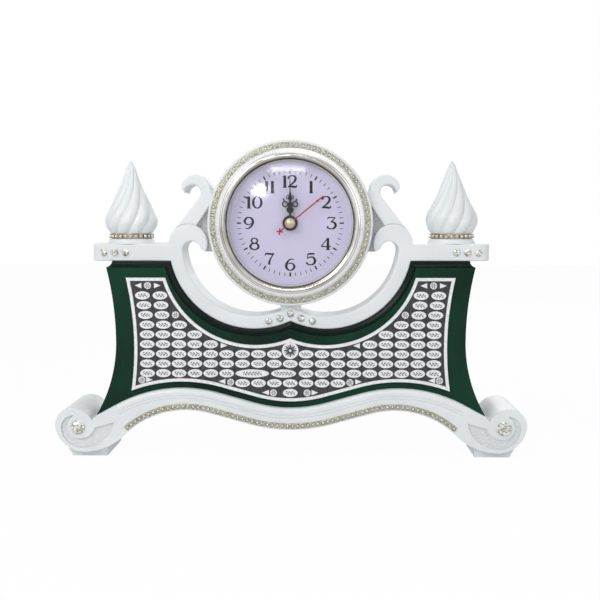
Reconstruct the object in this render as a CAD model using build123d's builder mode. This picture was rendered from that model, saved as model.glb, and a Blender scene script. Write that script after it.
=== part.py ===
# Mantel clock: wavy base on scroll feet, green body slab with a relief plaque,
# double C-scroll cradle with side shelves and flame finials, and a round clock
# insert that pulls out of the housing towards the front.
#
# Frame: millimetres, +Z up, the front faces -Y, +X is to the right seen from the
# front. The origin is on the surface the clock stands on, in the middle of its
# width and depth. "Left" and "right" are as seen from the front.

import math
import os

from build123d import *

os.makedirs("parts", exist_ok=True)

# Overall depth and the planes of the layers, from front to back
overall_depth = 64.0
foot_depth = 60.0
foot_back = overall_depth / 2
foot_front = foot_back - foot_depth
lens_apex = -overall_depth / 2
case_back = 16.0
rail_front = foot_front
slab_front = -22.0
frame_front = -18.0
housing_front = -24.0

# Feet
eye_x = 151.3
eye_z = 21.5
scroll_crown_height = 13.8
scroll_top_radius = 12.4
scroll_side_radius = 16.2
scroll_bottom_radius = 17.8
plinth_width = 24.8
plinth_inset = 4.7
plinth_setback = 5.0
field_depth = 1.4
foot_stone_radius = 5.2
foot_stone_height = 2.6

# Wavy base rail: a dip in the middle and a hump each side, joined by tangent lines
rail_slope = 15.4
rail_top_hump_x = 77.0
rail_top_hump_z = 49.35
rail_top_hump_radius = 98.0
rail_top_dip_radius = 94.7
rail_top_end_angle = 61.5
rail_tail_x = 139.0
strip_hump_x = 74.0
strip_hump_z = 36.85
strip_hump_radius = 65.0
strip_dip_radius = 108.5
strip_end_angle = 46.0
chain_end_angle = 48.4
strip_lip = 2.8
rail_edge_radius = 2.6

# Green body slab
waist_x = 124.2
waist_z = 82.0
slab_top_x = 131.7
upper_side_bow = 1.9
lower_side_bow = 3.7
cove_radius = 4.5

# Shelves and the double C-scroll cradle
shelf_top = 151.7
shelf_thickness = 12.1
shelf_half_length = 141.4
shelf_corner_radius = 7.0
cradle_x = 25.6
cradle_z = 152.0
cradle_outer_radius = 60.9
cradle_band = 9.4
curl_radius = 13.8
curl_bore_radius = 6.6
curl_bore_drop = 5.0
saddle_half_width = 7.0
saddle_setback = 1.0
frame_edge_radius = 1.0

# Crest scrolls and the recessed webs beside the ring
hook_x = 67.0
hook_z = 190.0
hook_radius = 10.5
hook_bore_x = 69.3
hook_bore_z = 187.8
hook_bore_radius = 5.8
stem_low_x = 58.6
stem_low_z = 176.5
web_recess = 4.0
web_thickness = 22.0
web_inner_share = 0.93
hook_lip_angle = 8.0
stem_shoulder_x = 54.0
stem_shoulder_z = 184.0

# Clock housing
housing_radius = 58.3
housing_rise = 0.79
housing_bore_radius = 45.5
housing_edge_radius = 1.2
chain_channel_depth = 0.8
bezel_radius = 52.0
ring_chain_radius = 54.7

# Cup chains and stones
chain_width = 3.6
chain_strip_thickness = 0.5
chain_cup_size = 3.0
chain_cup_height = 1.1
chain_side_gap = 0.1
stone_radius = 1.2
stone_height = 1.6
stone_girdle_share = 0.45
stone_taper = 30.0
ring_stone_count = 90
base_stone_pitch = 3.55
finial_stone_count = 26

# Finials
finial_x = 115.8
finial_foot_radius = 17.6
finial_neck_radius = 14.2
finial_waist_radius = 15.8
finial_foot_height = 3.3
finial_chain_top = 7.5
neck_stone_taper = 24.0
neck_cup_sink = 0.2
stone_seat_gap = 0.1
flame_profile = (
    (7.5, 15.3),
    (10.9, 17.4),
    (16.9, 18.9),
    (24.8, 16.0),
    (30.5, 13.0),
    (36.9, 10.0),
    (42.9, 7.4),
    (48.3, 5.3),
    (53.2, 3.5),
    (57.4, 1.6),
    (59.2, 0.5),
)
finial_flutes = 10
finial_flute_depth = 0.12
finial_twist = 95.0
dowel_radius = 3.0
dowel_depth = 9.0
dowel_clearance = 0.1
dowel_end_gap = 0.6

# Larger set stones
shelf_stone_radius = 2.75
shelf_stone_pitch = 7.8
shelf_stone_x = 125.3
cradle_stone_radius = 2.6
cradle_stone_angle = 8.4
set_stone_height = 1.8

# Relief plaque
plaque_top_z = 127.9
plaque_corner_x = 116.4
plaque_waist_x = 110.9
plaque_waist_z = 80.0
plaque_foot_x = 113.2
plaque_arc_x = 24.7
plaque_arc_z = 146.6
plaque_arc_radius = 66.5
plaque_rail_gap = 4.6
plaque_border_width = 2.2
plaque_border_height = 1.8
plaque_thickness = 1.0
relief_height = 0.7
plaque_row_top = 122.3
plaque_row_pitch = 6.94
plaque_column_pitch = 11.3
plaque_row_lean = 1.0
plaque_row_spread = 0.27
oval_half_width = 5.2
oval_half_height = 2.9
plaque_stud_radius = 2.5
medallion_radius = 5.9
medallion_rise = 2.5
arrow_length = 4.7
arrow_half_height = 1.9

# Clock insert: bezel, lens, dial and cup
fit_clearance = 0.05
seat_clearance = 0.1
cup_radius = 45.2
cup_wall = 1.5
cup_front = -26.8
cup_back = -6.0
cup_plate_thickness = 1.9
dial_front = -21.0
dial_thickness = 0.6
dial_edge_gap = 0.5
lens_thickness = 1.5
lens_edge_front = -28.3
lens_edge_gap = 0.2
bezel_opening_radius = 44.3
bezel_lip_thickness = 0.8
bezel_lip_mid_radius = 45.4
bezel_lip_mid_drop = 0.45
bezel_crest = -30.6
bezel_crest_radius = 47.0
bezel_shoulder_mid = 48.3
bezel_shoulder_radius = 49.2
bezel_shoulder_drop = 0.9
bezel_rim_thickness = 2.4
fit_ring_width = 6.0
fit_ring_back = -10.0
fit_ring_thickness = 0.85

# Movement case, battery bay and cell
case_half_width = 28.0
case_wall = 1.2
movement_front = -18.5
movement_back = -3.5
cover_thickness = 1.5
partition_z = -11.9
partition_thickness = 1.0
cell_radius = 7.1
cell_length = 49.0
cell_nub_radius = 2.75
cell_nub_length = 1.3
cell_z = -19.35
cell_bay_depth = 13.6
contact_thickness = 0.4
contact_half_width = 5.0
contact_radius = 3.0

# Posts, plates, motor and circuit inside the case, measured from the dial axis
post_radius = 1.2
plate_posts = ((-17.0, -9.0), (18.0, 12.5), (-12.0, 15.8))
board_posts = ((-23.5, -7.5), (-23.5, 14.0))
train_plate_low = (-18.8, -10.7)
train_plate_high = (20.0, 17.4)
board_front = -13.2
board_thickness = 1.0
board_width = 6.5
board_bottom = -9.0
board_top = 16.0
chip_x = -23.2
chip_z = -3.0
chip_half_width = 1.8
chip_height = 0.9
quartz_radius = 1.0
quartz_bottom = 3.0
quartz_length = 6.0
coil_left = -4.5
coil_right = 15.5
coil_z = 22.0
coil_radius = 3.6
coil_end_gap = 0.2
core_half_height = 1.5
stator_thickness = 1.0
stator_arm_width = 3.5
stator_bar_z = 15.2
stator_bar_height = 2.0
stator_ring_radius = 5.2
magnet_radius = 3.0
magnet_gap = 0.4
magnet_front = -11.6
magnet_thickness = 2.0

# Wheel train: distances between axes and the directions they lie in, in degrees
third_distance = 10.0
third_direction = 150.0
setting_distance = 11.0
setting_direction = -10.0
fine_module = 0.3
intermediate_direction = 70.0
rotor_direction = 60.0
wheel_thickness = 0.8
pinion_thickness = 1.2
tooth_root_depth = 1.2
tooth_tip_height = 0.8
tooth_root_share = 0.23
tooth_pitch_share = 0.18
tooth_tip_share = 0.07

# Numbers of teeth
second_wheel_teeth = 40
second_pinion_teeth = 8
third_wheel_teeth = 60
third_pinion_teeth = 8
centre_wheel_teeth = 64
minute_pinion_teeth = 12
setting_wheel_teeth = 36
setting_pinion_teeth = 10
hour_wheel_teeth = 40
intermediate_wheel_teeth = 36
intermediate_pinion_teeth = 8
rotor_pinion_teeth = 6

# Arbors, pipes and the running clearance between them
running_clearance = 0.06
second_arbor_radius = 0.6
third_arbor_radius = 0.45
fine_arbor_radius = 0.4
setting_arbor_radius = 1.0
minute_pipe_radius = 1.6
hour_pipe_radius = 2.5
bushing_radius = 3.75
bushing_flange_radius = 5.5
bushing_flange_thickness = 0.4
bushing_stand_out = 0.2
pivot_depth = 0.6
pivot_end_gap = 0.1
fine_pivot_depth = 0.4
pipe_stand_out = 0.2
arbor_stand_out = 0.3
clutch_radius = 2.6

# Front faces of the wheels inside the movement, along Y
hour_wheel_front = -16.7
setting_wheel_front = -15.3
centre_wheel_front = -13.9
train_plate_front = -12.7
train_plate_thickness = 0.8
third_wheel_front = -11.6
second_wheel_front = -9.6
fine_wheel_front = -7.9

# Hands, washer and nut in front of the dial
washer_thickness = 0.4
washer_radius = 5.2
nut_half_width = 4.5
nut_thickness = 1.5
hand_thickness = 0.3
hour_hand_front = -23.8
hand_spacing = 1.35
hub_radius = 5.4
hour_hand_length = 21.5
hour_stem_width = 1.5
hour_bulbs = ((9.4, 2.5), (12.9, 2.0), (17.5, 1.6))
hour_loop_x = 3.5
hour_loop_z = 13.3
hour_loop_radius = 2.2
hour_loop_line = 0.9
hour_horn_x = 4.3
hour_horn_z = 16.0
hour_horn_length = 2.6
hour_horn_lean = 25.0
minute_hand_length = 31.0
minute_hub_radius = 4.0
minute_stem_width = 1.6
minute_tip_width = 0.5
minute_loop_x = 1.3
minute_loop_z = 18.2
minute_loop_radius = 1.4
minute_loop_line = 0.6
second_hand_length = 30.0
second_hand_tail = 9.4
second_hand_angle = 51.0
second_hand_width = 0.95
second_hub_radius = 2.4
second_bead_z = 24.7
second_bead_radius = 0.9
second_cross_length = 4.6
cap_radius = 3.7
cap_height = 1.8
knob_radius = 4.5
knob_length = 4.7
knob_gap = 0.3
knob_groove_count = 20
knob_groove_radius = 0.35


def polar_point(centre, radius, degrees):
    """Point at an angle on a circle; angles run counter-clockwise seen from the front."""
    angle = math.radians(degrees)
    return (centre[0] + radius * math.cos(angle), centre[1] + radius * math.sin(angle))


def front_plane(y, origin_z=0.0):
    """Sketch plane facing the front: sketch x is +X, sketch y is +Z."""
    return Plane(origin=(0, y, origin_z), x_dir=(1, 0, 0), z_dir=(0, -1, 0))


def arc(centre, radius, start, end):
    """Circular arc from one angle to another."""
    middle = (start + end) / 2
    angles = (start, middle, end)
    return ThreePointArc(*[polar_point(centre, radius, angle) for angle in angles])


class Wave:
    """Wavy edge of the base: dip arc at x = 0, tangent line, hump arc. Lift moves it outwards."""

    def __init__(self, hump_x, hump_z, hump_radius, dip_radius, end_angle, lift=0.0):
        self.sizes = (hump_x, hump_z, hump_radius, dip_radius, end_angle)
        slope = math.radians(rail_slope)
        self.hump_centre = (hump_x, hump_z - hump_radius)
        line_x = hump_x - hump_radius * math.sin(slope)
        line_z = self.hump_centre[1] + hump_radius * math.cos(slope)
        dip_x = dip_radius * math.sin(slope)
        dip_z = line_z - (line_x - dip_x) * math.tan(slope)
        self.dip_centre = (0.0, dip_z + dip_radius * math.cos(slope))
        self.hump_radius = hump_radius + lift
        self.dip_radius = dip_radius - lift
        self.end_angle = end_angle
        self.low = (0.0, self.dip_centre[1] - self.dip_radius)
        self.end = polar_point(self.hump_centre, self.hump_radius, end_angle)

    def draw(self):
        """Right half of the edge, from the dip to its outer end."""
        dip = arc(self.dip_centre, self.dip_radius, -90, rail_slope - 90)
        hump_start = rail_slope + 90
        Line(dip @ 1, polar_point(self.hump_centre, self.hump_radius, hump_start))
        arc(self.hump_centre, self.hump_radius, hump_start, self.end_angle)

    def place(self, distance):
        """Point and direction, in degrees, at a distance along the edge from the dip."""
        dip_length = self.dip_radius * math.radians(rail_slope)
        line_start = polar_point(self.dip_centre, self.dip_radius, rail_slope - 90)
        line_length = math.dist(line_start, self.hump_start())
        if distance < dip_length:
            angle = math.degrees(distance / self.dip_radius) - 90
            return polar_point(self.dip_centre, self.dip_radius, angle), angle + 90
        if distance < dip_length + line_length:
            return polar_point(line_start, distance - dip_length, rail_slope), rail_slope
        run = distance - dip_length - line_length
        angle = rail_slope + 90 - math.degrees(run / self.hump_radius)
        return polar_point(self.hump_centre, self.hump_radius, angle), angle - 90

    def hump_start(self):
        """Point where the straight stretch meets the hump."""
        return polar_point(self.hump_centre, self.hump_radius, rail_slope + 90)

    def length(self):
        """Length of the right half of the edge."""
        line_start = polar_point(self.dip_centre, self.dip_radius, rail_slope - 90)
        turns = self.dip_radius * rail_slope + self.hump_radius * (rail_slope + 90 - self.end_angle)
        return math.radians(turns) + math.dist(line_start, self.hump_start())


def bowed(start, end, bow):
    """Arc between two points that stands off their chord, to the left of its direction."""
    length = math.dist(start, end)
    across = ((start[1] - end[1]) / length, (end[0] - start[0]) / length)
    middle_x = (start[0] + end[0]) / 2 + bow * across[0]
    middle_z = (start[1] + end[1]) / 2 + bow * across[1]
    return ThreePointArc(start, (middle_x, middle_z), end)


def both_sides(points):
    """Points and their mirror images across the middle."""
    return list(points) + [(-x, z) for x, z in points if x]


def save(piece, name):
    """Label a finished piece and write its file."""
    piece.label = name
    export_step(piece, "parts/" + name + ".step")


def stones(centres, y, radius, height):
    """Cut stones that stand on the plane y: a girdle and a tapered crown."""
    girdle = height * stone_girdle_share
    with BuildSketch(front_plane(y)) as girdles:
        with Locations(*centres):
            Circle(radius)
    extrude(girdles.sketch, amount=girdle)
    with BuildSketch(front_plane(y - girdle)) as crowns:
        with Locations(*centres):
            Circle(radius)
    extrude(crowns.sketch, amount=height - girdle, taper=stone_taper)


def chain_cups(places, y):
    """Square cups of a chain, each turned along the chain, standing on the plane y."""
    with BuildSketch(front_plane(y)) as cups:
        with Locations(*[Location((x, z, 0), (0, 0, turn)) for (x, z), turn in places]):
            Rectangle(chain_cup_size, chain_cup_size)
            Circle(stone_radius, mode=Mode.SUBTRACT)
    extrude(cups.sketch, amount=chain_cup_height)


# Derived places of the case
case_depth = case_back - slab_front
shelf_bottom = shelf_top - shelf_thickness
shelf_middle = (shelf_top + shelf_bottom) / 2
cradle_centre = (cradle_x, cradle_z)
cradle_inner_radius = cradle_outer_radius - cradle_band
curl_centre = (cradle_x + cradle_outer_radius - curl_radius, cradle_z)
bore_reach = cradle_inner_radius - curl_bore_radius
curl_bore = (cradle_x + math.sqrt(bore_reach**2 - curl_bore_drop**2), cradle_z - curl_bore_drop)
curl_bore_angle = -math.degrees(math.asin(curl_bore_drop / bore_reach))
cusp_inner_angle = math.degrees(math.acos(cradle_x / cradle_inner_radius)) - 180
cusp_outer_angle = math.degrees(math.acos(cradle_x / cradle_outer_radius)) - 180
cusp_inner = polar_point(cradle_centre, cradle_inner_radius, cusp_inner_angle)
cusp_outer = polar_point(cradle_centre, cradle_outer_radius, cusp_outer_angle)
dial_z = cusp_inner[1] + housing_rise + housing_radius
shelf_root_angle = math.degrees(math.asin((shelf_bottom - cradle_z) / cradle_outer_radius))
shelf_root = polar_point(cradle_centre, cradle_outer_radius, shelf_root_angle)
curl_end_angle = math.degrees(math.asin((shelf_top - cradle_z) / curl_radius))
curl_tip_angle = 205.0
curl_bore_end = 168.0
stem_inner_angle = 115.0
stem_outer_angle = 35.0
shelf_centre_y = (frame_front + case_back) / 2

rail_top = Wave(
    rail_top_hump_x, rail_top_hump_z, rail_top_hump_radius, rail_top_dip_radius, rail_top_end_angle
)
chain_line = Wave(
    strip_hump_x, strip_hump_z, strip_hump_radius, strip_dip_radius, chain_end_angle
)
rail_bottom = Wave(
    strip_hump_x, strip_hump_z, strip_hump_radius, strip_dip_radius, strip_end_angle, -strip_lip
)
tail_drop = math.tan(math.radians(90 - rail_top_end_angle))
rail_tail = (rail_tail_x, rail_top.end[1] - (rail_tail_x - rail_top.end[0]) * tail_drop)
chain_seat_y = rail_front + chain_channel_depth


def half_band(wave, half_width):
    """Right half of a band along a wavy edge."""
    upper = Wave(*wave.sizes, half_width)
    lower = Wave(*wave.sizes, -half_width)
    with BuildLine() as edge:
        upper.draw()
        lower.draw()
        Line(upper.end, lower.end)
        Line(upper.low, lower.low)
    make_face(edge.edges())


# Base rail: the wavy moulding between the feet, rounded along its top front edge
with BuildPart() as base_rail:
    with BuildSketch(front_plane(case_back)):
        with BuildLine():
            rail_top.draw()
            rail_bottom.draw()
            Line(rail_top.end, rail_bottom.end)
            Line(rail_top.low, rail_bottom.low)
        make_face()
        mirror(about=Plane.YZ)
    extrude(amount=case_back - rail_front)
    front_edges = base_rail.faces().sort_by(Axis.Y)[0].edges()
    upper_edges = [edge for edge in front_edges if edge.center().Z > rail_top.low[1] - 1]
    crest = [edge for edge in upper_edges if abs(edge.center().X) < rail_bottom.end[0]]
    fillet(crest, rail_edge_radius)
    with BuildSketch(front_plane(chain_seat_y)):
        half_band(chain_line, chain_width / 2 + chain_side_gap)
        mirror(about=Plane.YZ)
    extrude(amount=chain_channel_depth, mode=Mode.SUBTRACT)
save(base_rail.part, "base_rail")


# Chain of cups along the rail, and its stones
base_stone_half = int(chain_line.length() / base_stone_pitch)
base_stone_step = chain_line.length() / base_stone_half
base_places = [chain_line.place((i + 0.5) * base_stone_step) for i in range(base_stone_half)]
base_places += [((-x, z), -turn) for (x, z), turn in base_places]

with BuildPart() as base_chain:
    with BuildSketch(front_plane(chain_seat_y)):
        half_band(chain_line, chain_width / 2)
        mirror(about=Plane.YZ)
    extrude(amount=chain_strip_thickness)
    chain_cups(base_places, chain_seat_y - chain_strip_thickness)
save(base_chain.part, "base_chain")

with BuildPart() as base_crystals:
    base_stone_seat = chain_seat_y - chain_strip_thickness
    stones([place[0] for place in base_places], base_stone_seat, stone_radius, stone_height)
save(base_crystals.part, "base_crystals")


# Feet: the scroll with its recessed field, its tail along the rail, and the plinth below
def at_eye(inwards, up):
    """Point of the right foot, measured from the middle of its scroll."""
    return (eye_x - inwards, eye_z + up)


scroll_side_rise = scroll_crown_height - scroll_top_radius
scroll_crown = at_eye(scroll_top_radius - scroll_side_radius, scroll_crown_height)
crown_centre = at_eye(scroll_top_radius - scroll_side_radius, scroll_side_rise)
scroll_side = at_eye(-scroll_side_radius, scroll_side_rise)
scroll_low = at_eye(3.0, -scroll_bottom_radius)
scroll_notch = at_eye(10.2, 5.0)
field_arcs = (
    ((-2.7, 8.4), (-9.3, 6.0), (-12.0, 0.0)),
    ((-12.0, 0.0), (-8.2, -9.9), (3.0, -15.0)),
    ((3.0, -15.0), (18.2, -9.8), (25.9, 3.8)),
    ((25.9, 3.8), (19.5, 1.8), (12.3, 0.0)),
    ((12.3, 0.0), (9.3, -5.0), (3.4, -7.7)),
    ((3.4, -7.7), (-4.0, -6.4), (-7.4, 0.5)),
    ((-7.4, 0.5), (-6.1, 5.0), (-2.7, 8.4)),
)

with BuildPart() as right_foot:
    with BuildSketch(front_plane(foot_back)):
        with BuildLine():
            Line(rail_bottom.end, rail_top.end)
            Line(rail_top.end, rail_tail)
            Line(rail_tail, scroll_notch)
            ThreePointArc(scroll_notch, at_eye(5.2, 10.8), scroll_crown)
            arc(crown_centre, scroll_top_radius, 90, 0)
            ThreePointArc(scroll_side, at_eye(-9.6, -12.1), scroll_low)
            ThreePointArc(scroll_low, at_eye(19.5, -14.6), rail_bottom.end)
        make_face()
    extrude(amount=foot_depth)
    with BuildSketch(front_plane(foot_back - plinth_setback)):
        with BuildLine():
            Polyline(
                at_eye(plinth_width - plinth_inset, -5.0),
                at_eye(-5.0, -5.0),
                at_eye(-9.1, -13.7),
                at_eye(-plinth_inset, -eye_z),
                at_eye(plinth_width - plinth_inset, -eye_z),
                close=True,
            )
        make_face()
    extrude(amount=foot_depth - 2 * plinth_setback)
    with BuildSketch(front_plane(foot_front + field_depth)):
        with BuildLine():
            for start, middle, end in field_arcs:
                ThreePointArc(at_eye(*start), at_eye(*middle), at_eye(*end))
        make_face()
    extrude(amount=field_depth, mode=Mode.SUBTRACT)
save(right_foot.part, "right_foot")

with BuildPart() as left_foot:
    mirror(right_foot.part, about=Plane.YZ)
save(left_foot.part, "left_foot")

with BuildPart() as foot_crystals:
    stones(both_sides([(eye_x, eye_z)]), foot_front, foot_stone_radius, foot_stone_height)
save(foot_crystals.part, "foot_crystals")


# Green body slab: concave sides, its lower edge on the rail, a cove below shelves and cradle
with BuildPart() as green_block:
    with BuildSketch(front_plane(case_back)):
        with BuildLine():
            rail_top.draw()
            Line(rail_top.end, rail_tail)
            bowed(rail_tail, (waist_x, waist_z), lower_side_bow)
            bowed((waist_x, waist_z), (slab_top_x, shelf_bottom), upper_side_bow)
            Line((slab_top_x, shelf_bottom), shelf_root)
            arc(cradle_centre, cradle_outer_radius, shelf_root_angle, cusp_outer_angle)
            Line(cusp_outer, rail_top.low)
        make_face()
    extrude(amount=case_depth)
    with BuildSketch(Plane.XY.offset(cradle_z)):
        with Locations((cradle_x + cradle_outer_radius, slab_front)):
            Circle(cove_radius)
    revolve(axis=Axis((cradle_x, 0, cradle_z), (0, 1, 0)), mode=Mode.SUBTRACT)
    with BuildSketch(Plane.YZ.offset(shelf_root[0])):
        with Locations((slab_front, shelf_bottom)):
            Circle(cove_radius)
    extrude(amount=shelf_half_length, mode=Mode.SUBTRACT)
    with BuildSketch(front_plane(case_back)):
        with Locations((slab_top_x, shelf_bottom)):
            Circle(cove_radius)
    extrude(amount=case_depth, mode=Mode.SUBTRACT)
    mirror(about=Plane.YZ)
save(green_block.part, "green_block")


# Scroll arms: shelf, C-shaped cradle and curl in one casting; the two meet at x = 0
with BuildPart() as right_scroll_arm:
    with BuildSketch(front_plane(case_back)):
        with BuildLine():
            arc(cradle_centre, cradle_inner_radius, cusp_inner_angle, curl_bore_angle)
            arc(curl_bore, curl_bore_radius, curl_bore_angle, curl_bore_end)
            curl_lip = polar_point(curl_bore, curl_bore_radius, curl_bore_end)
            Line(curl_lip, polar_point(curl_centre, curl_radius, curl_tip_angle))
            arc(curl_centre, curl_radius, curl_tip_angle, curl_end_angle)
            curl_end = polar_point(curl_centre, curl_radius, curl_end_angle)
            Line(curl_end, (shelf_half_length, shelf_top))
            Line((shelf_half_length, shelf_top), (shelf_half_length, shelf_bottom))
            Line((shelf_half_length, shelf_bottom), shelf_root)
            arc(cradle_centre, cradle_outer_radius, shelf_root_angle, cusp_outer_angle)
            Line(cusp_outer, cusp_inner)
        make_face()
    extrude(amount=case_back - frame_front)
    shelf_ends = right_scroll_arm.faces().sort_by(Axis.X)[-1].edges()
    fillet(shelf_ends.filter_by(Axis.Z), shelf_corner_radius)
    front_edges = right_scroll_arm.faces().sort_by(Axis.Y)[0].edges()
    fillet([edge for edge in front_edges if edge.center().X > frame_edge_radius], frame_edge_radius)
    with BuildSketch(front_plane(case_back)):
        saddle_height = dial_z - housing_radius - cusp_outer[1]
        with Locations((saddle_half_width / 2, cusp_inner[1])):
            Rectangle(saddle_half_width, saddle_height)
        with Locations((0, dial_z)):
            Circle(housing_radius, mode=Mode.SUBTRACT)
    extrude(amount=case_back - frame_front - saddle_setback)
    with Locations((finial_x, shelf_centre_y, shelf_top)):
        Hole(dowel_radius + dowel_clearance, dowel_depth)
save(right_scroll_arm.part, "right_scroll_arm")

with BuildPart() as left_scroll_arm:
    mirror(right_scroll_arm.part, about=Plane.YZ)
save(left_scroll_arm.part, "left_scroll_arm")


# Crest scrolls: hooked scrolls that stand on the curls and lean against the ring
hook_centre = (hook_x, hook_z)
hook_bore = (hook_bore_x, hook_bore_z)
stem_low = (stem_low_x, stem_low_z)
stem_inner = polar_point(curl_centre, curl_radius, stem_inner_angle)
stem_outer = polar_point(curl_centre, curl_radius, stem_outer_angle)
stem_reach = math.dist(stem_outer, hook_bore)
stem_turn = math.degrees(math.acos(hook_bore_radius / stem_reach))
stem_bearing = math.degrees(math.atan2(stem_outer[1] - hook_bore_z, stem_outer[0] - hook_bore_x))
hook_bore_start = stem_bearing - stem_turn + 360

with BuildPart() as right_crest_scroll:
    with BuildSketch(front_plane(case_back)):
        with BuildLine():
            arc(curl_centre, curl_radius, stem_inner_angle, stem_outer_angle)
            Line(stem_outer, polar_point(hook_bore, hook_bore_radius, hook_bore_start))
            arc(hook_bore, hook_bore_radius, hook_bore_start, 0)
            hook_lip = polar_point(hook_bore, hook_bore_radius, 0)
            Line(hook_lip, polar_point(hook_centre, hook_radius, hook_lip_angle))
            arc(hook_centre, hook_radius, hook_lip_angle, 180)
            hook_back = (hook_x - hook_radius, hook_z)
            stem_shoulder = (stem_shoulder_x, stem_shoulder_z)
            Polyline(hook_back, stem_shoulder, stem_low, stem_inner)
        make_face()
        with Locations((0, dial_z)):
            Circle(housing_radius, mode=Mode.SUBTRACT)
    extrude(amount=case_back - frame_front)
    front_edges = right_crest_scroll.faces().sort_by(Axis.Y)[0].edges()
    ring_reach = housing_radius + frame_edge_radius
    free_edges = [e for e in front_edges if math.hypot(e.center().X, e.center().Z - dial_z) > ring_reach]
    upper_edges = [e for e in free_edges if e.center().Z > stem_outer[1] + frame_edge_radius]
    fillet(upper_edges, frame_edge_radius)
save(right_crest_scroll.part, "right_crest_scroll")

with BuildPart() as left_crest_scroll:
    mirror(right_crest_scroll.part, about=Plane.YZ)
save(left_crest_scroll.part, "left_crest_scroll")


# Web plates: recessed fillers between ring, crest scroll and curl
with BuildPart() as right_web_plate:
    with BuildSketch(front_plane(frame_front + web_recess + web_thickness)):
        with BuildLine():
            web_low = polar_point(curl_centre, curl_radius, curl_tip_angle)
            web_end = (housing_radius * web_inner_share, web_low[1])
            web_top = (housing_radius * web_inner_share, stem_low_z)
            Polyline(stem_low, stem_inner, curl_centre, web_low, web_end, web_top, close=True)
        make_face()
        with Locations((0, dial_z)):
            Circle(housing_radius, mode=Mode.SUBTRACT)
        with Locations(curl_centre):
            Circle(curl_radius, mode=Mode.SUBTRACT)
    extrude(amount=web_thickness)
save(right_web_plate.part, "right_web_plate")

with BuildPart() as left_web_plate:
    mirror(right_web_plate.part, about=Plane.YZ)
save(left_web_plate.part, "left_web_plate")


# Clock housing: a drum with a through bore and a channel for the ring chain
ring_seat_y = housing_front + chain_channel_depth

with BuildPart() as clock_housing:
    with BuildSketch(front_plane(case_back, dial_z)):
        Circle(housing_radius)
        Circle(housing_bore_radius, mode=Mode.SUBTRACT)
    extrude(amount=case_back - housing_front)
    front_rims = clock_housing.faces().sort_by(Axis.Y)[0].edges().sort_by(SortBy.LENGTH)
    fillet(front_rims[-1], housing_edge_radius)
    with BuildSketch(front_plane(ring_seat_y, dial_z)):
        Circle(ring_chain_radius + chain_width / 2 + chain_side_gap)
        Circle(ring_chain_radius - chain_width / 2 - chain_side_gap, mode=Mode.SUBTRACT)
    extrude(amount=chain_channel_depth, mode=Mode.SUBTRACT)
save(clock_housing.part, "clock_housing")

ring_turns = [i * 360 / ring_stone_count for i in range(ring_stone_count)]
ring_places = [(polar_point((0, dial_z), ring_chain_radius, turn), turn) for turn in ring_turns]

with BuildPart() as ring_chain:
    with BuildSketch(front_plane(ring_seat_y, dial_z)):
        Circle(ring_chain_radius + chain_width / 2)
        Circle(ring_chain_radius - chain_width / 2, mode=Mode.SUBTRACT)
    extrude(amount=chain_strip_thickness)
    chain_cups(ring_places, ring_seat_y - chain_strip_thickness)
save(ring_chain.part, "ring_chain")

with BuildPart() as ring_crystals:
    ring_stone_seat = ring_seat_y - chain_strip_thickness
    stones([place[0] for place in ring_places], ring_stone_seat, stone_radius, stone_height)
save(ring_crystals.part, "ring_crystals")


# Finials: flared foot, neck for the cup chain and a twisted fluted flame
flame_base = flame_profile[0][0]
flame_rise = flame_profile[-1][0] - flame_base


def flame_section(height, radius, centre_x):
    """Fluted section of a flame at one height, turned by the twist up to there."""
    turn = finial_twist * (height - flame_base) / flame_rise
    half_flute = 180 / finial_flutes
    valley_radius = radius * (1 - finial_flute_depth)
    centre = (0, 0)
    with BuildLine() as outline:
        for flute in range(finial_flutes):
            ridge = turn + 2 * flute * half_flute
            first_valley = polar_point(centre, valley_radius, ridge - half_flute)
            next_valley = polar_point(centre, valley_radius, ridge + half_flute)
            ThreePointArc(first_valley, polar_point(centre, radius, ridge), next_valley)
    section_origin = (centre_x, shelf_centre_y, shelf_top + height)
    with BuildSketch(Plane(origin=section_origin)) as section:
        make_face(outline.edges())
    return section.sketch


for side, centre_x in (("left", -finial_x), ("right", finial_x)):
    with BuildPart() as finial:
        with Locations((centre_x, shelf_centre_y, shelf_top + finial_foot_height / 2)):
            Cone(finial_foot_radius, finial_waist_radius, finial_foot_height)
        with Locations((centre_x, shelf_centre_y, shelf_top + flame_base / 2)):
            Cylinder(finial_neck_radius, flame_base)
        loft([flame_section(height, radius, centre_x) for height, radius in flame_profile])
        with Locations(Plane(origin=(centre_x, shelf_centre_y, shelf_top), z_dir=(0, 0, -1))):
            Hole(dowel_radius + dowel_clearance, dowel_depth)
    save(finial.part, side + "_finial")

with BuildPart() as finial_dowels:
    with Locations(*[(x, shelf_centre_y, shelf_top) for x in (-finial_x, finial_x)]):
        Cylinder(dowel_radius, 2 * dowel_depth - dowel_end_gap)
save(finial_dowels.part, "finial_dowels")


# Cup chains round the finial necks and their stones
neck_chain_z = shelf_top + (finial_chain_top + finial_foot_height) / 2
neck_cup_radius = finial_neck_radius + chain_strip_thickness


def neck_planes(centre_x, radius):
    """Planes round a finial neck, facing outwards."""
    planes = []
    for i in range(finial_stone_count):
        angle = 2 * math.pi * i / finial_stone_count
        out = (math.cos(angle), math.sin(angle), 0)
        origin = (centre_x + radius * out[0], shelf_centre_y + radius * out[1], neck_chain_z)
        planes.append(Plane(origin=origin, x_dir=(-out[1], out[0], 0), z_dir=out))
    return planes


all_neck_planes = neck_planes(-finial_x, neck_cup_radius) + neck_planes(finial_x, neck_cup_radius)

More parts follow.
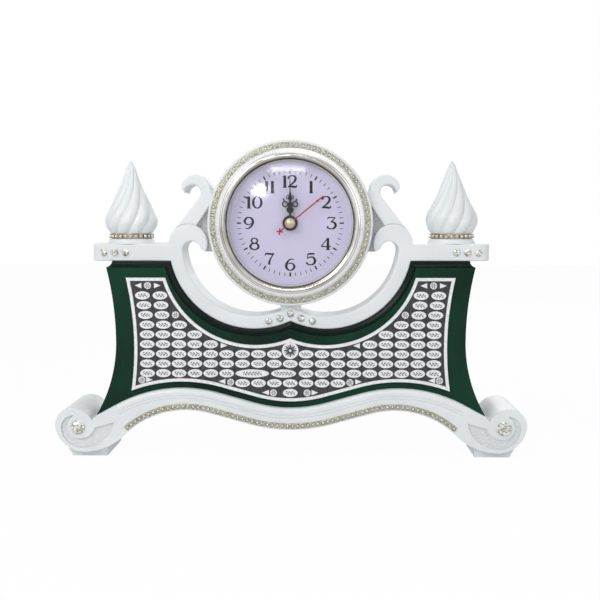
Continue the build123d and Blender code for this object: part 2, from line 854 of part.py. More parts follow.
with BuildPart() as finial_chains:
    with Locations(*[(x, shelf_centre_y, neck_chain_z) for x in (-finial_x, finial_x)]):
        Cylinder(neck_cup_radius, chain_width)
        Cylinder(finial_neck_radius, chain_width, mode=Mode.SUBTRACT)
    for plane in all_neck_planes:
        with BuildSketch(plane.offset(-neck_cup_sink)):
            Rectangle(chain_cup_size, chain_cup_size)
            Circle(stone_radius, mode=Mode.SUBTRACT)
    extrude(amount=chain_cup_height)
save(finial_chains.part, "finial_chains")

with BuildPart() as finial_crystals:
    for plane in all_neck_planes:
        with BuildSketch(plane.offset(stone_seat_gap)):
            Circle(stone_radius)
    extrude(amount=stone_height - stone_seat_gap, taper=neck_stone_taper)
save(finial_crystals.part, "finial_crystals")


# Larger stones on the shelves and along the cradle's middle
shelf_stone_places = [(shelf_stone_x + i * shelf_stone_pitch, shelf_middle) for i in (-1, 0, 1)]
cradle_mid_radius = cradle_outer_radius - cradle_band / 2
cradle_mid_angle = math.degrees(math.acos(cradle_x / cradle_mid_radius)) - 180
cradle_stone_angles = [cradle_mid_angle + i * cradle_stone_angle for i in range(3)]
cradle_stone_places = [polar_point(cradle_centre, cradle_mid_radius, a) for a in cradle_stone_angles]
cradle_stone_places[0] = (0, cradle_stone_places[0][1])

with BuildPart() as shelf_crystals:
    stones(both_sides(shelf_stone_places), frame_front, shelf_stone_radius, set_stone_height)
save(shelf_crystals.part, "shelf_crystals")

with BuildPart() as cradle_crystals:
    stones(both_sides(cradle_stone_places), frame_front, cradle_stone_radius, set_stone_height)
save(cradle_crystals.part, "cradle_crystals")


# Relief plaque on the slab: border, field plate and the relief pieces on it
plaque_centre = (plaque_arc_x, plaque_arc_z)
plaque_peak_angle = math.degrees(math.acos(plaque_arc_x / plaque_arc_radius)) - 180
plaque_top_angle = math.degrees(math.asin((plaque_top_z - plaque_arc_z) / plaque_arc_radius))
plaque_hump_radius = rail_top_hump_radius + plaque_rail_gap
plaque_foot_reach = (plaque_foot_x - rail_top.hump_centre[0]) / plaque_hump_radius
plaque_foot_angle = math.degrees(math.acos(plaque_foot_reach))
plaque_low = Wave(*rail_top.sizes[:4], plaque_foot_angle, plaque_rail_gap)
relief_y = slab_front - plaque_thickness


def half_plaque():
    """Right half of the plaque's outer shape."""
    with BuildLine() as outline:
        top = arc(plaque_centre, plaque_arc_radius, plaque_peak_angle, plaque_top_angle)
        Line(top @ 1, (plaque_corner_x, plaque_top_z))
        waist = (plaque_waist_x, plaque_waist_z)
        ThreePointArc((plaque_corner_x, plaque_top_z), waist, plaque_low.end)
        plaque_low.draw()
        Line(plaque_low.low, top @ 0)
    make_face(outline.edges())


def row_height(row):
    """Height of a plaque row."""
    return plaque_row_top - row * plaque_row_pitch


def half_row(row, first, last):
    """Ovals of one row on the right half; the upper rows lean outwards and stand wider apart."""
    outer_place = 9 * plaque_column_pitch + plaque_row_lean * max(0, 4 - row)
    pitch = plaque_column_pitch + plaque_row_spread * max(0, 5 - row)
    steps = range(9 - last, 10 - first)
    return [(outer_place - step * pitch, row_height(row)) for step in steps]


# First and last column of ovals in each row, counted from the middle
oval_rows = {1: (8, 9), 2: (8, 9), 3: (8, 9), 4: (7, 9), 5: (6, 9), 6: (5, 9)}
oval_rows.update({7: (1, 9), 8: (0, 9), 10: (0, 3), 11: (0, 0)})
oval_places = []
for row, (first, last) in oval_rows.items():
    oval_places += both_sides(half_row(row, first, last))
oval_places += half_row(9, 1, 9)
oval_places += [(-x, z) for x, z in half_row(9, 4, 9)]
wide_ovals = ((-27.0, 11.9), (-4.7, 8.8))

# Studs and arrowheads of the right half; an arrow's last number is the way it points
stud_spots = ((101.0, 122.4), (81.3, 101.6), (105.8, 54.95), (42.4, 53.5), (12.0, 46.0))
upper_arrows = ((107.8, 122.4, 1), (94.1, 122.4, -1), (47.0, 79.8, -1))
lower_arrows = ((100.4, 55.1, -1), (48.5, 54.1, 1), (17.5, 46.2, 1))
medallion_z = row_height(7) + medallion_rise

with BuildPart() as plaque_border:
    with BuildSketch(front_plane(slab_front)):
        half_plaque()
        mirror(about=Plane.YZ)
        offset(amount=-plaque_border_width, mode=Mode.SUBTRACT)
    extrude(amount=plaque_border_height)
save(plaque_border.part, "plaque_border")

with BuildPart() as plaque_plate:
    with BuildSketch(front_plane(slab_front)):
        half_plaque()
        mirror(about=Plane.YZ)
        offset(amount=-plaque_border_width, mode=Mode.REPLACE)
    extrude(amount=plaque_thickness)
save(plaque_plate.part, "plaque_plate")

with BuildPart() as plaque_cartouches:
    with BuildSketch(front_plane(relief_y)):
        with Locations(*oval_places):
            Ellipse(oval_half_width, oval_half_height)
        for x, half_width in wide_ovals:
            with Locations((x, row_height(9))):
                Ellipse(half_width, oval_half_height)
    extrude(amount=relief_height)
save(plaque_cartouches.part, "plaque_cartouches")

with BuildPart() as plaque_medallion:
    with BuildSketch(front_plane(relief_y)):
        with Locations((0, medallion_z)):
            Circle(medallion_radius)
    extrude(amount=relief_height)
save(plaque_medallion.part, "plaque_medallion")

with BuildPart() as plaque_studs:
    with BuildSketch(front_plane(relief_y)):
        with Locations(*both_sides(stud_spots)):
            Circle(plaque_stud_radius)
    extrude(amount=relief_height)
save(plaque_studs.part, "plaque_studs")

with BuildPart() as plaque_arrowheads:
    with BuildSketch(front_plane(relief_y)):
        for x, z, outward in upper_arrows + lower_arrows:
            for side in (1, -1):
                tip = (side * (x + outward * arrow_length / 2), z)
                heel_x = side * (x - outward * arrow_length / 2)
                with BuildLine():
                    heel_low = (heel_x, z - arrow_half_height)
                    heel_high = (heel_x, z + arrow_half_height)
                    Polyline(tip, heel_low, heel_high, close=True)
                make_face()
    extrude(amount=relief_height)
save(plaque_arrowheads.part, "plaque_arrowheads")


# Clock insert: pieces turned about the dial axis, drawn as radius against depth
dial_axis = Axis((0, 0, dial_z), (0, 1, 0))
turning_plane = Plane.XY.offset(dial_z)
cup_inner_radius = cup_radius - cup_wall
cup_plate_back = dial_front + dial_thickness + cup_plate_thickness
centre_hole_radius = bushing_radius + seat_clearance
flange_back = housing_front - seat_clearance
bezel_bore = cup_radius + seat_clearance
lens_radius = cup_radius - lens_edge_gap
lip_back = lens_edge_front - 2 * seat_clearance

with BuildPart() as bezel:
    with BuildSketch(turning_plane):
        with BuildLine():
            lip_front = (bezel_opening_radius, lip_back - bezel_lip_thickness)
            crest_top = (bezel_crest_radius, bezel_crest)
            shoulder = (bezel_shoulder_radius, bezel_crest + bezel_shoulder_drop)
            rim_front = (bezel_radius, flange_back - bezel_rim_thickness)
            lip_mid = (bezel_lip_mid_radius, bezel_crest + bezel_lip_mid_drop)
            ThreePointArc(lip_front, lip_mid, crest_top)
            shoulder_mid = (bezel_shoulder_mid, bezel_crest + bezel_shoulder_drop / 4)
            ThreePointArc(crest_top, shoulder_mid, shoulder)
            Polyline(
                shoulder,
                (bezel_shoulder_radius, bezel_crest + 2 * bezel_shoulder_drop),
                rim_front,
                (bezel_radius, flange_back),
                (bezel_bore, flange_back),
                (bezel_bore, lip_back),
                (bezel_opening_radius, lip_back),
                lip_front,
            )
        make_face()
    revolve(axis=dial_axis)
save(bezel.part, "bezel")

with BuildPart() as lens:
    with BuildSketch(turning_plane):
        with BuildLine():
            sag = lens_edge_front - lens_apex
            lens_sphere_radius = (lens_radius**2 + sag**2) / (2 * sag)
            half_way = lens_radius / 2
            half_way_drop = lens_sphere_radius - math.sqrt(lens_sphere_radius**2 - half_way**2)
            front_mid = (half_way, lens_apex + half_way_drop)
            back_mid = (half_way, front_mid[1] + lens_thickness)
            lens_edge_back = (lens_radius, lens_edge_front + lens_thickness)
            ThreePointArc((0, lens_apex), front_mid, (lens_radius, lens_edge_front))
            Line((lens_radius, lens_edge_front), lens_edge_back)
            ThreePointArc(lens_edge_back, back_mid, (0, lens_apex + lens_thickness))
            Line((0, lens_apex + lens_thickness), (0, lens_apex))
        make_face()
    revolve(axis=dial_axis)
save(lens.part, "lens")


def dial_plane(y):
    """Sketch plane facing the front with its origin on the dial axis."""
    return front_plane(y, dial_z)


def rod(centre, radius, front, back, mode=Mode.ADD):
    """Round bar along the depth, from its front plane to its back plane."""
    with BuildSketch(dial_plane(back)) as section:
        with Locations(centre):
            Circle(radius)
    extrude(section.sketch, amount=back - front, mode=mode)


def block(low, high, front, back, mode=Mode.ADD):
    """Box between two corners seen from the front, over a span of depth."""
    with BuildSketch(dial_plane(back)) as section:
        with Locations(((low[0] + high[0]) / 2, (low[1] + high[1]) / 2)):
            Rectangle(high[0] - low[0], high[1] - low[1])
    extrude(section.sketch, amount=back - front, mode=mode)


middle = (0, 0)

with BuildPart() as insert_cup:
    rod(middle, cup_radius, cup_front, cup_back)
    rod(middle, cup_inner_radius, cup_plate_back, cup_back, Mode.SUBTRACT)
    rod(middle, cup_inner_radius, cup_front, dial_front + dial_thickness, Mode.SUBTRACT)
    rod(middle, centre_hole_radius, cup_front, cup_back, Mode.SUBTRACT)
    with BuildSketch(dial_plane(fit_ring_back)):
        Circle(cup_radius)
        Circle(housing_bore_radius - fit_clearance - fit_ring_thickness, mode=Mode.SUBTRACT)
    extrude(amount=fit_ring_width, mode=Mode.SUBTRACT)
save(insert_cup.part, "insert_cup")

with BuildPart() as fit_ring:
    with BuildSketch(dial_plane(fit_ring_back)):
        Circle(housing_bore_radius - fit_clearance)
        Circle(housing_bore_radius - fit_clearance - fit_ring_thickness, mode=Mode.SUBTRACT)
    extrude(amount=fit_ring_width)
save(fit_ring.part, "fit_ring")

with BuildPart() as dial:
    rod(middle, cup_inner_radius - dial_edge_gap, dial_front, dial_front + dial_thickness)
    rod(middle, centre_hole_radius, dial_front, dial_front + dial_thickness, Mode.SUBTRACT)
save(dial.part, "dial")


# Directions and places of the train's axes, measured from the dial axis
third_axis = polar_point(middle, third_distance, third_direction)
setting_axis = polar_point(middle, setting_distance, setting_direction)
intermediate_distance = fine_module * (second_wheel_teeth + intermediate_pinion_teeth) / 2
intermediate_axis = polar_point(middle, intermediate_distance, intermediate_direction)
rotor_distance = fine_module * (intermediate_wheel_teeth + rotor_pinion_teeth) / 2
rotor_axis = polar_point(intermediate_axis, rotor_distance, rotor_direction)

# Modules that fill the distances between the axes
third_wheel_module = 2 * third_distance / (third_wheel_teeth + second_pinion_teeth)
centre_wheel_module = 2 * third_distance / (centre_wheel_teeth + third_pinion_teeth)
setting_wheel_module = 2 * setting_distance / (setting_wheel_teeth + minute_pinion_teeth)
hour_wheel_module = 2 * setting_distance / (hour_wheel_teeth + setting_pinion_teeth)

# Inner walls of the movement case
inner_half = case_half_width - case_wall
front_wall_back = movement_front + case_wall
cover_front = movement_back - cover_thickness
chamber_floor = partition_z + partition_thickness
pivot_front = front_wall_back - pivot_depth
pivot_back = cover_front + pivot_depth
plate_back = train_plate_front + train_plate_thickness
cell_y = movement_back - cell_bay_depth + cell_radius
minute_hand_front = hour_hand_front - hand_spacing
second_hand_front = minute_hand_front - hand_spacing


def gear(centre, teeth, module, phase, front, thickness):
    """Wheel or pinion with straight-flanked teeth; a tooth lies at the phase angle."""
    pitch = 360 / teeth
    pitch_radius = teeth * module / 2
    root = pitch_radius - tooth_root_depth * module
    tip = pitch_radius + tooth_tip_height * module
    flank = ((root, -tooth_root_share), (pitch_radius, -tooth_pitch_share), (tip, -tooth_tip_share))
    tooth = flank + tuple((radius, -share) for radius, share in reversed(flank))
    points = []
    for index in range(teeth):
        for radius, share in tooth:
            points.append(polar_point(centre, radius, phase + (index + share) * pitch))
    with BuildLine() as outline:
        Polyline(*points, close=True)
    with BuildSketch(dial_plane(front + thickness)) as section:
        make_face(outline.edges())
    extrude(section.sketch, amount=thickness)


def opposite(phase, teeth):
    """Phase of a wheel that meshes at a direction where its partner has a tooth."""
    return phase + 180 + 180 / teeth


def pinion_front(wheel_front):
    """Front face of a pinion that overlaps its wheel's thickness evenly."""
    return wheel_front - (pinion_thickness - wheel_thickness) / 2


# Movement case: tray with the train chamber, the battery bay below and posts for the plates
with BuildPart() as movement_case:
    low_corner = (-case_half_width, -case_half_width)
    high_corner = (case_half_width, case_half_width)
    block(low_corner, high_corner, movement_front, movement_back)
    chamber_low = (-inner_half, chamber_floor)
    block(chamber_low, (inner_half, inner_half), front_wall_back, movement_back, Mode.SUBTRACT)
    bay_high = (inner_half, partition_z)
    block((-inner_half, -inner_half), bay_high, front_wall_back, movement_back, Mode.SUBTRACT)
    rod(middle, bushing_radius + running_clearance, movement_front, front_wall_back, Mode.SUBTRACT)
    third_hole = third_arbor_radius + running_clearance
    rod(third_axis, third_hole, pivot_front, front_wall_back, Mode.SUBTRACT)
    setting_hole = setting_arbor_radius + running_clearance
    rod(setting_axis, setting_hole, pivot_front, front_wall_back, Mode.SUBTRACT)
    for post in plate_posts:
        rod(post, post_radius, front_wall_back, train_plate_front)
    for post in board_posts:
        rod(post, post_radius, front_wall_back, board_front)
save(movement_case.part, "movement_case")

with BuildPart() as movement_cover:
    cover_low = (-inner_half + seat_clearance, chamber_floor + seat_clearance)
    cover_high = (inner_half - seat_clearance, inner_half - seat_clearance)
    block(cover_low, cover_high, cover_front, movement_back)
    rod(setting_axis, setting_hole, cover_front, movement_back, Mode.SUBTRACT)
    for axis, radius in (
        (middle, second_arbor_radius),
        (third_axis, third_arbor_radius),
        (intermediate_axis, fine_arbor_radius),
        (rotor_axis, fine_arbor_radius),
    ):
        hole_back = pivot_back + pivot_end_gap
        rod(axis, radius + running_clearance, cover_front, hole_back, Mode.SUBTRACT)
save(movement_cover.part, "movement_cover")

with BuildPart() as train_plate:
    block(train_plate_low, train_plate_high, train_plate_front, plate_back)
    for axis, radius in (
        (middle, second_arbor_radius),
        (third_axis, third_arbor_radius),
        (setting_axis, setting_arbor_radius),
    ):
        hole_radius = radius + running_clearance
        rod(axis, hole_radius, train_plate_front, plate_back, Mode.SUBTRACT)
    fine_pivot_front = plate_back - fine_pivot_depth
    for axis in (intermediate_axis, rotor_axis):
        hole_radius = fine_arbor_radius + running_clearance
        rod(axis, hole_radius, fine_pivot_front - pivot_end_gap, plate_back, Mode.SUBTRACT)
save(train_plate.part, "train_plate")

# Threaded bushing through the dial, with its washer and nut
hour_pipe_bore = hour_pipe_radius + running_clearance
nut_front = dial_front - washer_thickness - nut_thickness

with BuildPart() as threaded_bushing:
    flange_end = front_wall_back + bushing_flange_thickness
    rod(middle, bushing_flange_radius, front_wall_back, flange_end)
    rod(middle, bushing_radius, nut_front - bushing_stand_out, front_wall_back)
    rod(middle, hour_pipe_bore, nut_front - bushing_stand_out, flange_end, Mode.SUBTRACT)
save(threaded_bushing.part, "threaded_bushing")

with BuildPart() as dial_washer:
    rod(middle, washer_radius, dial_front - washer_thickness, dial_front)
    rod(middle, centre_hole_radius, dial_front - washer_thickness, dial_front, Mode.SUBTRACT)
save(dial_washer.part, "dial_washer")

with BuildPart() as dial_nut:
    with BuildSketch(dial_plane(dial_front - washer_thickness)):
        RegularPolygon(nut_half_width, 6, major_radius=False)
        Circle(bushing_radius, mode=Mode.SUBTRACT)
    extrude(amount=nut_thickness)
save(dial_nut.part, "dial_nut")

# Stepping motor: stator plate with the rotor hole, and the coil on its core
core_low = (coil_left, coil_z - core_half_height)
core_high = (coil_right, coil_z + core_half_height)
stator_back = plate_back + stator_thickness
coil_y = (plate_back + stator_back) / 2

with BuildPart() as stator:
    left_arm_low = (coil_left - stator_arm_width, stator_bar_z)
    block(left_arm_low, (coil_left, core_high[1]), plate_back, stator_back)
    block(left_arm_low, (rotor_axis[0], stator_bar_z + stator_bar_height), plate_back, stator_back)
    right_arm_low = (coil_right, rotor_axis[1] - stator_arm_width / 2)
    right_arm_high = (coil_right + stator_arm_width, core_high[1])
    block(right_arm_low, right_arm_high, plate_back, stator_back)
    right_bar_high = (coil_right, rotor_axis[1] + stator_arm_width / 2)
    block((rotor_axis[0], right_arm_low[1]), right_bar_high, plate_back, stator_back)
    block(core_low, core_high, plate_back, stator_back)
    rod(rotor_axis, stator_ring_radius, plate_back, stator_back)
    rod(rotor_axis, magnet_radius + magnet_gap, plate_back, stator_back, Mode.SUBTRACT)
save(stator.part, "stator")

with BuildPart() as coil:
    with BuildSketch(Plane.YZ.offset(coil_left + coil_end_gap)):
        with Locations((coil_y, dial_z + coil_z)):
            Circle(coil_radius)
            Rectangle(stator_thickness, 2 * core_half_height, mode=Mode.SUBTRACT)
    extrude(amount=coil_right - coil_left - 2 * coil_end_gap)
save(coil.part, "coil")

with BuildPart() as circuit_board:
    board_low = (-inner_half, board_bottom)
    board_high = (-inner_half + board_width, board_top)
    block(board_low, board_high, board_front, board_front + board_thickness)
    chip_low = (chip_x - chip_half_width, chip_z - chip_half_width)
    chip_high = (chip_x + chip_half_width, chip_z + chip_half_width)
    board_back = board_front + board_thickness
    block(chip_low, chip_high, board_back, board_back + chip_height)
save(circuit_board.part, "circuit_board")

with BuildPart() as quartz_can:
    with BuildSketch(Plane.XY.offset(dial_z + quartz_bottom)):
        with Locations((chip_x, board_back + quartz_radius)):
            Circle(quartz_radius)
    extrude(amount=quartz_length)
save(quartz_can.part, "quartz_can")

# Battery and its two contact springs
cell_overall = cell_length + cell_nub_length
cell_left = -cell_overall / 2
cell_centre = (cell_y, dial_z + cell_z)

with BuildPart() as battery:
    with BuildSketch(Plane.YZ.offset(cell_left)):
        with Locations(cell_centre):
            Circle(cell_radius)
    extrude(amount=cell_length)
    with BuildSketch(Plane.YZ.offset(cell_left + cell_length)):
        with Locations(cell_centre):
            Circle(cell_nub_radius)
    extrude(amount=cell_nub_length)
save(battery.part, "battery")

with BuildPart() as battery_contacts:
    for side in (-1, 1):
        leaf_x = side * inner_half
        with BuildSketch(Plane.YZ.offset(leaf_x)) as leaf:
            with Locations(cell_centre):
                Rectangle(2 * contact_half_width, 2 * contact_half_width)
        extrude(leaf.sketch, amount=-side * contact_thickness)
        bump_height = inner_half - contact_thickness - cell_overall / 2 - seat_clearance
        with BuildSketch(Plane.YZ.offset(leaf_x - side * contact_thickness)) as bump:
            with Locations(cell_centre):
                Circle(contact_radius)
        extrude(bump.sketch, amount=-side * bump_height)
save(battery_contacts.part, "battery_contacts")


# Second train: rotor, intermediate wheel, second wheel with its arbor, third wheel
with BuildPart() as second_wheel:
    rod(middle, second_arbor_radius, second_hand_front - arbor_stand_out, pivot_back)
    second_wheel_sizes = (second_wheel_teeth, fine_module, intermediate_direction)
    gear(middle, *second_wheel_sizes, second_wheel_front, wheel_thickness)
    second_pinion_sizes = (second_pinion_teeth, third_wheel_module, third_direction)
    gear(middle, *second_pinion_sizes, pinion_front(third_wheel_front), pinion_thickness)
save(second_wheel.part, "second_wheel")

with BuildPart() as third_wheel:
    rod(third_axis, third_arbor_radius, pivot_front, pivot_back)
    third_phase = opposite(third_direction, third_wheel_teeth)
    third_wheel_sizes = (third_wheel_teeth, third_wheel_module, third_phase)
    gear(third_axis, *third_wheel_sizes, third_wheel_front, wheel_thickness)
    third_pinion_sizes = (third_pinion_teeth, centre_wheel_module, third_direction + 180)
    gear(third_axis, *third_pinion_sizes, pinion_front(centre_wheel_front), pinion_thickness)
save(third_wheel.part, "third_wheel")

with BuildPart() as intermediate_wheel:
    rod(intermediate_axis, fine_arbor_radius, fine_pivot_front, pivot_back)
    pinion_phase = opposite(intermediate_direction, intermediate_pinion_teeth)
    intermediate_pinion_sizes = (intermediate_pinion_teeth, fine_module, pinion_phase)
    pinion_plane = pinion_front(second_wheel_front)
    gear(intermediate_axis, *intermediate_pinion_sizes, pinion_plane, pinion_thickness)
    intermediate_sizes = (intermediate_wheel_teeth, fine_module, rotor_direction)
    gear(intermediate_axis, *intermediate_sizes, fine_wheel_front, wheel_thickness)
save(intermediate_wheel.part, "intermediate_wheel")

with BuildPart() as rotor:
    rod(rotor_axis, fine_arbor_radius, fine_pivot_front, pivot_back)
    rod(rotor_axis, magnet_radius, magnet_front, magnet_front + magnet_thickness)
    rotor_phase = opposite(rotor_direction, rotor_pinion_teeth)
    rotor_sizes = (rotor_pinion_teeth, fine_module, rotor_phase)
    gear(rotor_axis, *rotor_sizes, pinion_front(fine_wheel_front), pinion_thickness)
save(rotor.part, "rotor")

# Minute pipe with its pinion, the friction clutch and the centre wheel that drives it
minute_pinion_front = pinion_front(setting_wheel_front)
minute_pipe_back = centre_wheel_front + wheel_thickness + pipe_stand_out
minute_bore = second_arbor_radius + running_clearance
centre_bore = minute_pipe_radius + running_clearance

with BuildPart() as minute_pipe:
    rod(middle, minute_pipe_radius, minute_hand_front - pipe_stand_out, minute_pipe_back)
    minute_sizes = (minute_pinion_teeth, setting_wheel_module, setting_direction)
    gear(middle, *minute_sizes, minute_pinion_front, pinion_thickness)
    pipe_front = minute_hand_front - pipe_stand_out
    rod(middle, minute_bore, pipe_front, minute_pipe_back, Mode.SUBTRACT)
save(minute_pipe.part, "minute_pipe")

with BuildPart() as centre_wheel:
    centre_phase = third_direction + 180 / centre_wheel_teeth
    centre_sizes = (centre_wheel_teeth, centre_wheel_module, centre_phase)
    gear(middle, *centre_sizes, centre_wheel_front, wheel_thickness)
    wheel_back = centre_wheel_front + wheel_thickness
    rod(middle, centre_bore, centre_wheel_front, wheel_back, Mode.SUBTRACT)
save(centre_wheel.part, "centre_wheel")

with BuildPart() as clutch_spring:
    spring_front = minute_pinion_front + pinion_thickness
    spring_back = centre_wheel_front - running_clearance
    rod(middle, clutch_radius, spring_front, spring_back)
    rod(middle, minute_pipe_radius, spring_front, spring_back, Mode.SUBTRACT)
save(clutch_spring.part, "clutch_spring")

# Motion work: hour wheel on its pipe, setting wheel on the shaft of the rear knob
with BuildPart() as hour_wheel:
    rod(middle, hour_pipe_radius, hour_hand_front - pipe_stand_out, hour_wheel_front)
    hour_phase = setting_direction + 180 / hour_wheel_teeth
    gear(middle, hour_wheel_teeth, hour_wheel_module, hour_phase, hour_wheel_front, wheel_thickness)
    hour_back = hour_wheel_front + wheel_thickness
    rod(middle, centre_bore, hour_hand_front - pipe_stand_out, hour_back, Mode.SUBTRACT)
save(hour_wheel.part, "hour_wheel")

knob_front = movement_back + knob_gap

with BuildPart() as setting_wheel:
    rod(setting_axis, setting_arbor_radius, pivot_front, knob_front + knob_length / 2)
    setting_phase = opposite(setting_direction, setting_wheel_teeth)
    setting_sizes = (setting_wheel_teeth, setting_wheel_module, setting_phase)
    gear(setting_axis, *setting_sizes, setting_wheel_front, wheel_thickness)
    pinion_sizes = (setting_pinion_teeth, hour_wheel_module, setting_direction + 180)
    gear(setting_axis, *pinion_sizes, pinion_front(hour_wheel_front), pinion_thickness)
save(setting_wheel.part, "setting_wheel")

with BuildPart() as setting_knob:
    with BuildSketch(dial_plane(knob_front + knob_length)):
        with Locations(setting_axis):
            Circle(knob_radius)
            with PolarLocations(knob_radius, knob_groove_count):
                Circle(knob_groove_radius, mode=Mode.SUBTRACT)
    extrude(amount=knob_length)
    shaft_end = knob_front + knob_length / 2
    rod(setting_axis, setting_arbor_radius, knob_front, shaft_end, Mode.SUBTRACT)
save(setting_knob.part, "setting_knob")


# Hands, drawn pointing up on their own plane
def hand_plane(front, clockwise=0.0):
    """Plane at the back of a hand, turned clockwise from twelve."""
    turn = math.radians(clockwise)
    across = (math.cos(turn), 0, -math.sin(turn))
    back = front + hand_thickness
    return Plane(origin=(0, back, dial_z), x_dir=across, z_dir=(0, -1, 0))


with BuildPart() as hour_hand:
    with BuildSketch(hand_plane(hour_hand_front)):
        Circle(hub_radius)
        with Locations((0, hour_hand_length / 2)):
            Rectangle(hour_stem_width, hour_hand_length)
        for height, radius in hour_bulbs:
            with Locations((0, height)):
                Circle(radius)
        for side in (-1, 1):
            with Locations((side * hour_loop_x, hour_loop_z)):
                Circle(hour_loop_radius)
                Circle(hour_loop_radius - hour_loop_line, mode=Mode.SUBTRACT)
            lean = -side * hour_horn_lean
            with Locations(Location((side * hour_horn_x, hour_horn_z, 0), (0, 0, lean))):
                Rectangle(hour_loop_line, hour_horn_length)
        Circle(hour_pipe_radius, mode=Mode.SUBTRACT)
    extrude(amount=hand_thickness)
save(hour_hand.part, "hour_hand")

with BuildPart() as minute_hand:
    with BuildSketch(hand_plane(minute_hand_front)):
        Circle(minute_hub_radius)
        with BuildLine():
            Polyline(
                (-minute_stem_width / 2, 0),
                (minute_stem_width / 2, 0),
                (minute_tip_width / 2, minute_hand_length),
                (-minute_tip_width / 2, minute_hand_length),
                close=True,
            )
        make_face()
        for side in (-1, 1):
            with Locations((side * minute_loop_x, minute_loop_z)):
                Circle(minute_loop_radius)
                Circle(minute_loop_radius - minute_loop_line, mode=Mode.SUBTRACT)
        Circle(minute_pipe_radius, mode=Mode.SUBTRACT)
    extrude(amount=hand_thickness)
save(minute_hand.part, "minute_hand")

with BuildPart() as second_hand:
    with BuildSketch(hand_plane(second_hand_front, second_hand_angle)):
        Circle(second_hub_radius)
        with Locations((0, (second_hand_length - second_hand_tail) / 2)):
            Rectangle(second_hand_width, second_hand_length + second_hand_tail)
        with Locations((0, second_bead_z)):
            Circle(second_bead_radius)
        for turn in (-45, 45):
            with Locations(Location((0, -second_hand_tail, 0), (0, 0, turn))):
                Rectangle(second_hand_width, second_cross_length)
        Circle(second_arbor_radius, mode=Mode.SUBTRACT)
    extrude(amount=hand_thickness)
save(second_hand.part, "second_hand")

with BuildPart() as second_hand_cap:
    cap_sphere_radius = (cap_radius**2 + cap_height**2) / (2 * cap_height)
    with BuildSketch(turning_plane):
        with BuildLine():
            cap_front = second_hand_front - cap_height
            cap_mid = cap_radius / 2
            cap_mid_drop = cap_sphere_radius - math.sqrt(cap_sphere_radius**2 - cap_mid**2)
            cap_rim = (cap_radius, second_hand_front)
            ThreePointArc((0, cap_front), (cap_mid, cap_front + cap_mid_drop), cap_rim)
            Polyline(cap_rim, (0, second_hand_front), (0, cap_front))
        make_face()
    revolve(axis=dial_axis)
    cap_hole_front = second_hand_front - arbor_stand_out
    rod(middle, second_arbor_radius, cap_hole_front, second_hand_front, Mode.SUBTRACT)
save(second_hand_cap.part, "second_hand_cap")
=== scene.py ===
# %% [markdown]
# # A mantel clock with a scroll frame
# The clock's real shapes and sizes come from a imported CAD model, which is loaded as a fixed
# frame: every piece already stands where it belongs. What Blender adds is how things look:
# the paints and metals, the cut of the stones, the print on the dial and the small relief
# that is too fine for the solids. Everything is in metres, the front faces -Y, and +X is to
# the right.

# %% Load the frame
import math

import bmesh
import bpy
from mathutils import Matrix, Vector


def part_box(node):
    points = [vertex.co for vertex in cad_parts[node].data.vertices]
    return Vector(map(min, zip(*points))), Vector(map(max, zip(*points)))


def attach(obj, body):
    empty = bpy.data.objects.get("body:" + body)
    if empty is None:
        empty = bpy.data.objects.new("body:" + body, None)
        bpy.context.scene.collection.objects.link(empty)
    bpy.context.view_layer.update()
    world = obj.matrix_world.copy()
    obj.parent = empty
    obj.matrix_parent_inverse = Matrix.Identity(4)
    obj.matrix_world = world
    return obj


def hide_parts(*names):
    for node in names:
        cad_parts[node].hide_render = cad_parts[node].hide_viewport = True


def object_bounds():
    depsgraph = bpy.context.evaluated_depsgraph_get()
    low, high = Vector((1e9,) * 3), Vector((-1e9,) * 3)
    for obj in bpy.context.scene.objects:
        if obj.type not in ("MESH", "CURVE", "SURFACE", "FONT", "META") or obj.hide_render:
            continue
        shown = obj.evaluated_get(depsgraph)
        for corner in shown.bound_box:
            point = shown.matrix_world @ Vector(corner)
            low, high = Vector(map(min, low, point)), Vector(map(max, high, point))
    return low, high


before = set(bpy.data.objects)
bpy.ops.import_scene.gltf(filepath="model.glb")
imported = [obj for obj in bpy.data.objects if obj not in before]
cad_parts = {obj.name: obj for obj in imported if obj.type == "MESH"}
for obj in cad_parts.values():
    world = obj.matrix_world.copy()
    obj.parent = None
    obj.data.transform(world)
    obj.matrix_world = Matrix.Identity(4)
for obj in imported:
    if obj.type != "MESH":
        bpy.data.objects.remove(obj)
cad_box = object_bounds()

MM = 0.001
rounded_box = [tuple(round(value, 4) for value in corner) for corner in cad_box]
print("CAD nodes:", len(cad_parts), "box:", rounded_box)

# %% [markdown]
# ## The camera
# The photograph was taken from a little right of the middle and slightly above the dial,
# about three quarters of a metre away. A lens of about 63 mm on a 36 mm sensor gives the
# same flat perspective.

# %% Camera
def looking(direction):
    """Turn of a camera or a lamp, whose own view runs along -Z."""
    return direction.to_track_quat("-Z", "Y").to_euler()


camera_place = Vector((22.4, -758.0, 170.75)) * MM
camera_aim = Vector((-0.02096, 0.99663, -0.07933))
bpy.ops.object.camera_add(location=camera_place, rotation=looking(camera_aim))
camera = bpy.context.object
camera.name = "photo_camera"
camera.data.lens = 62.6
camera.data.sensor_width = 36.0
bpy.context.scene.camera = camera
print("camera looks along", tuple(round(v, 3) for v in camera_aim))

# %% [markdown]
# ## Shader maths
# A finish is a material whose roughness, colour and bump change over the surface. Wiring
# nodes by hand is slow to read, so a small class wraps one output of a node: adding or
# multiplying two wires adds the Math node that does it. Any other node comes from one
# method, which sets the node's own options first and then its sockets. Places on the clock
# are in millimetres here, so their numbers are those of the CAD.

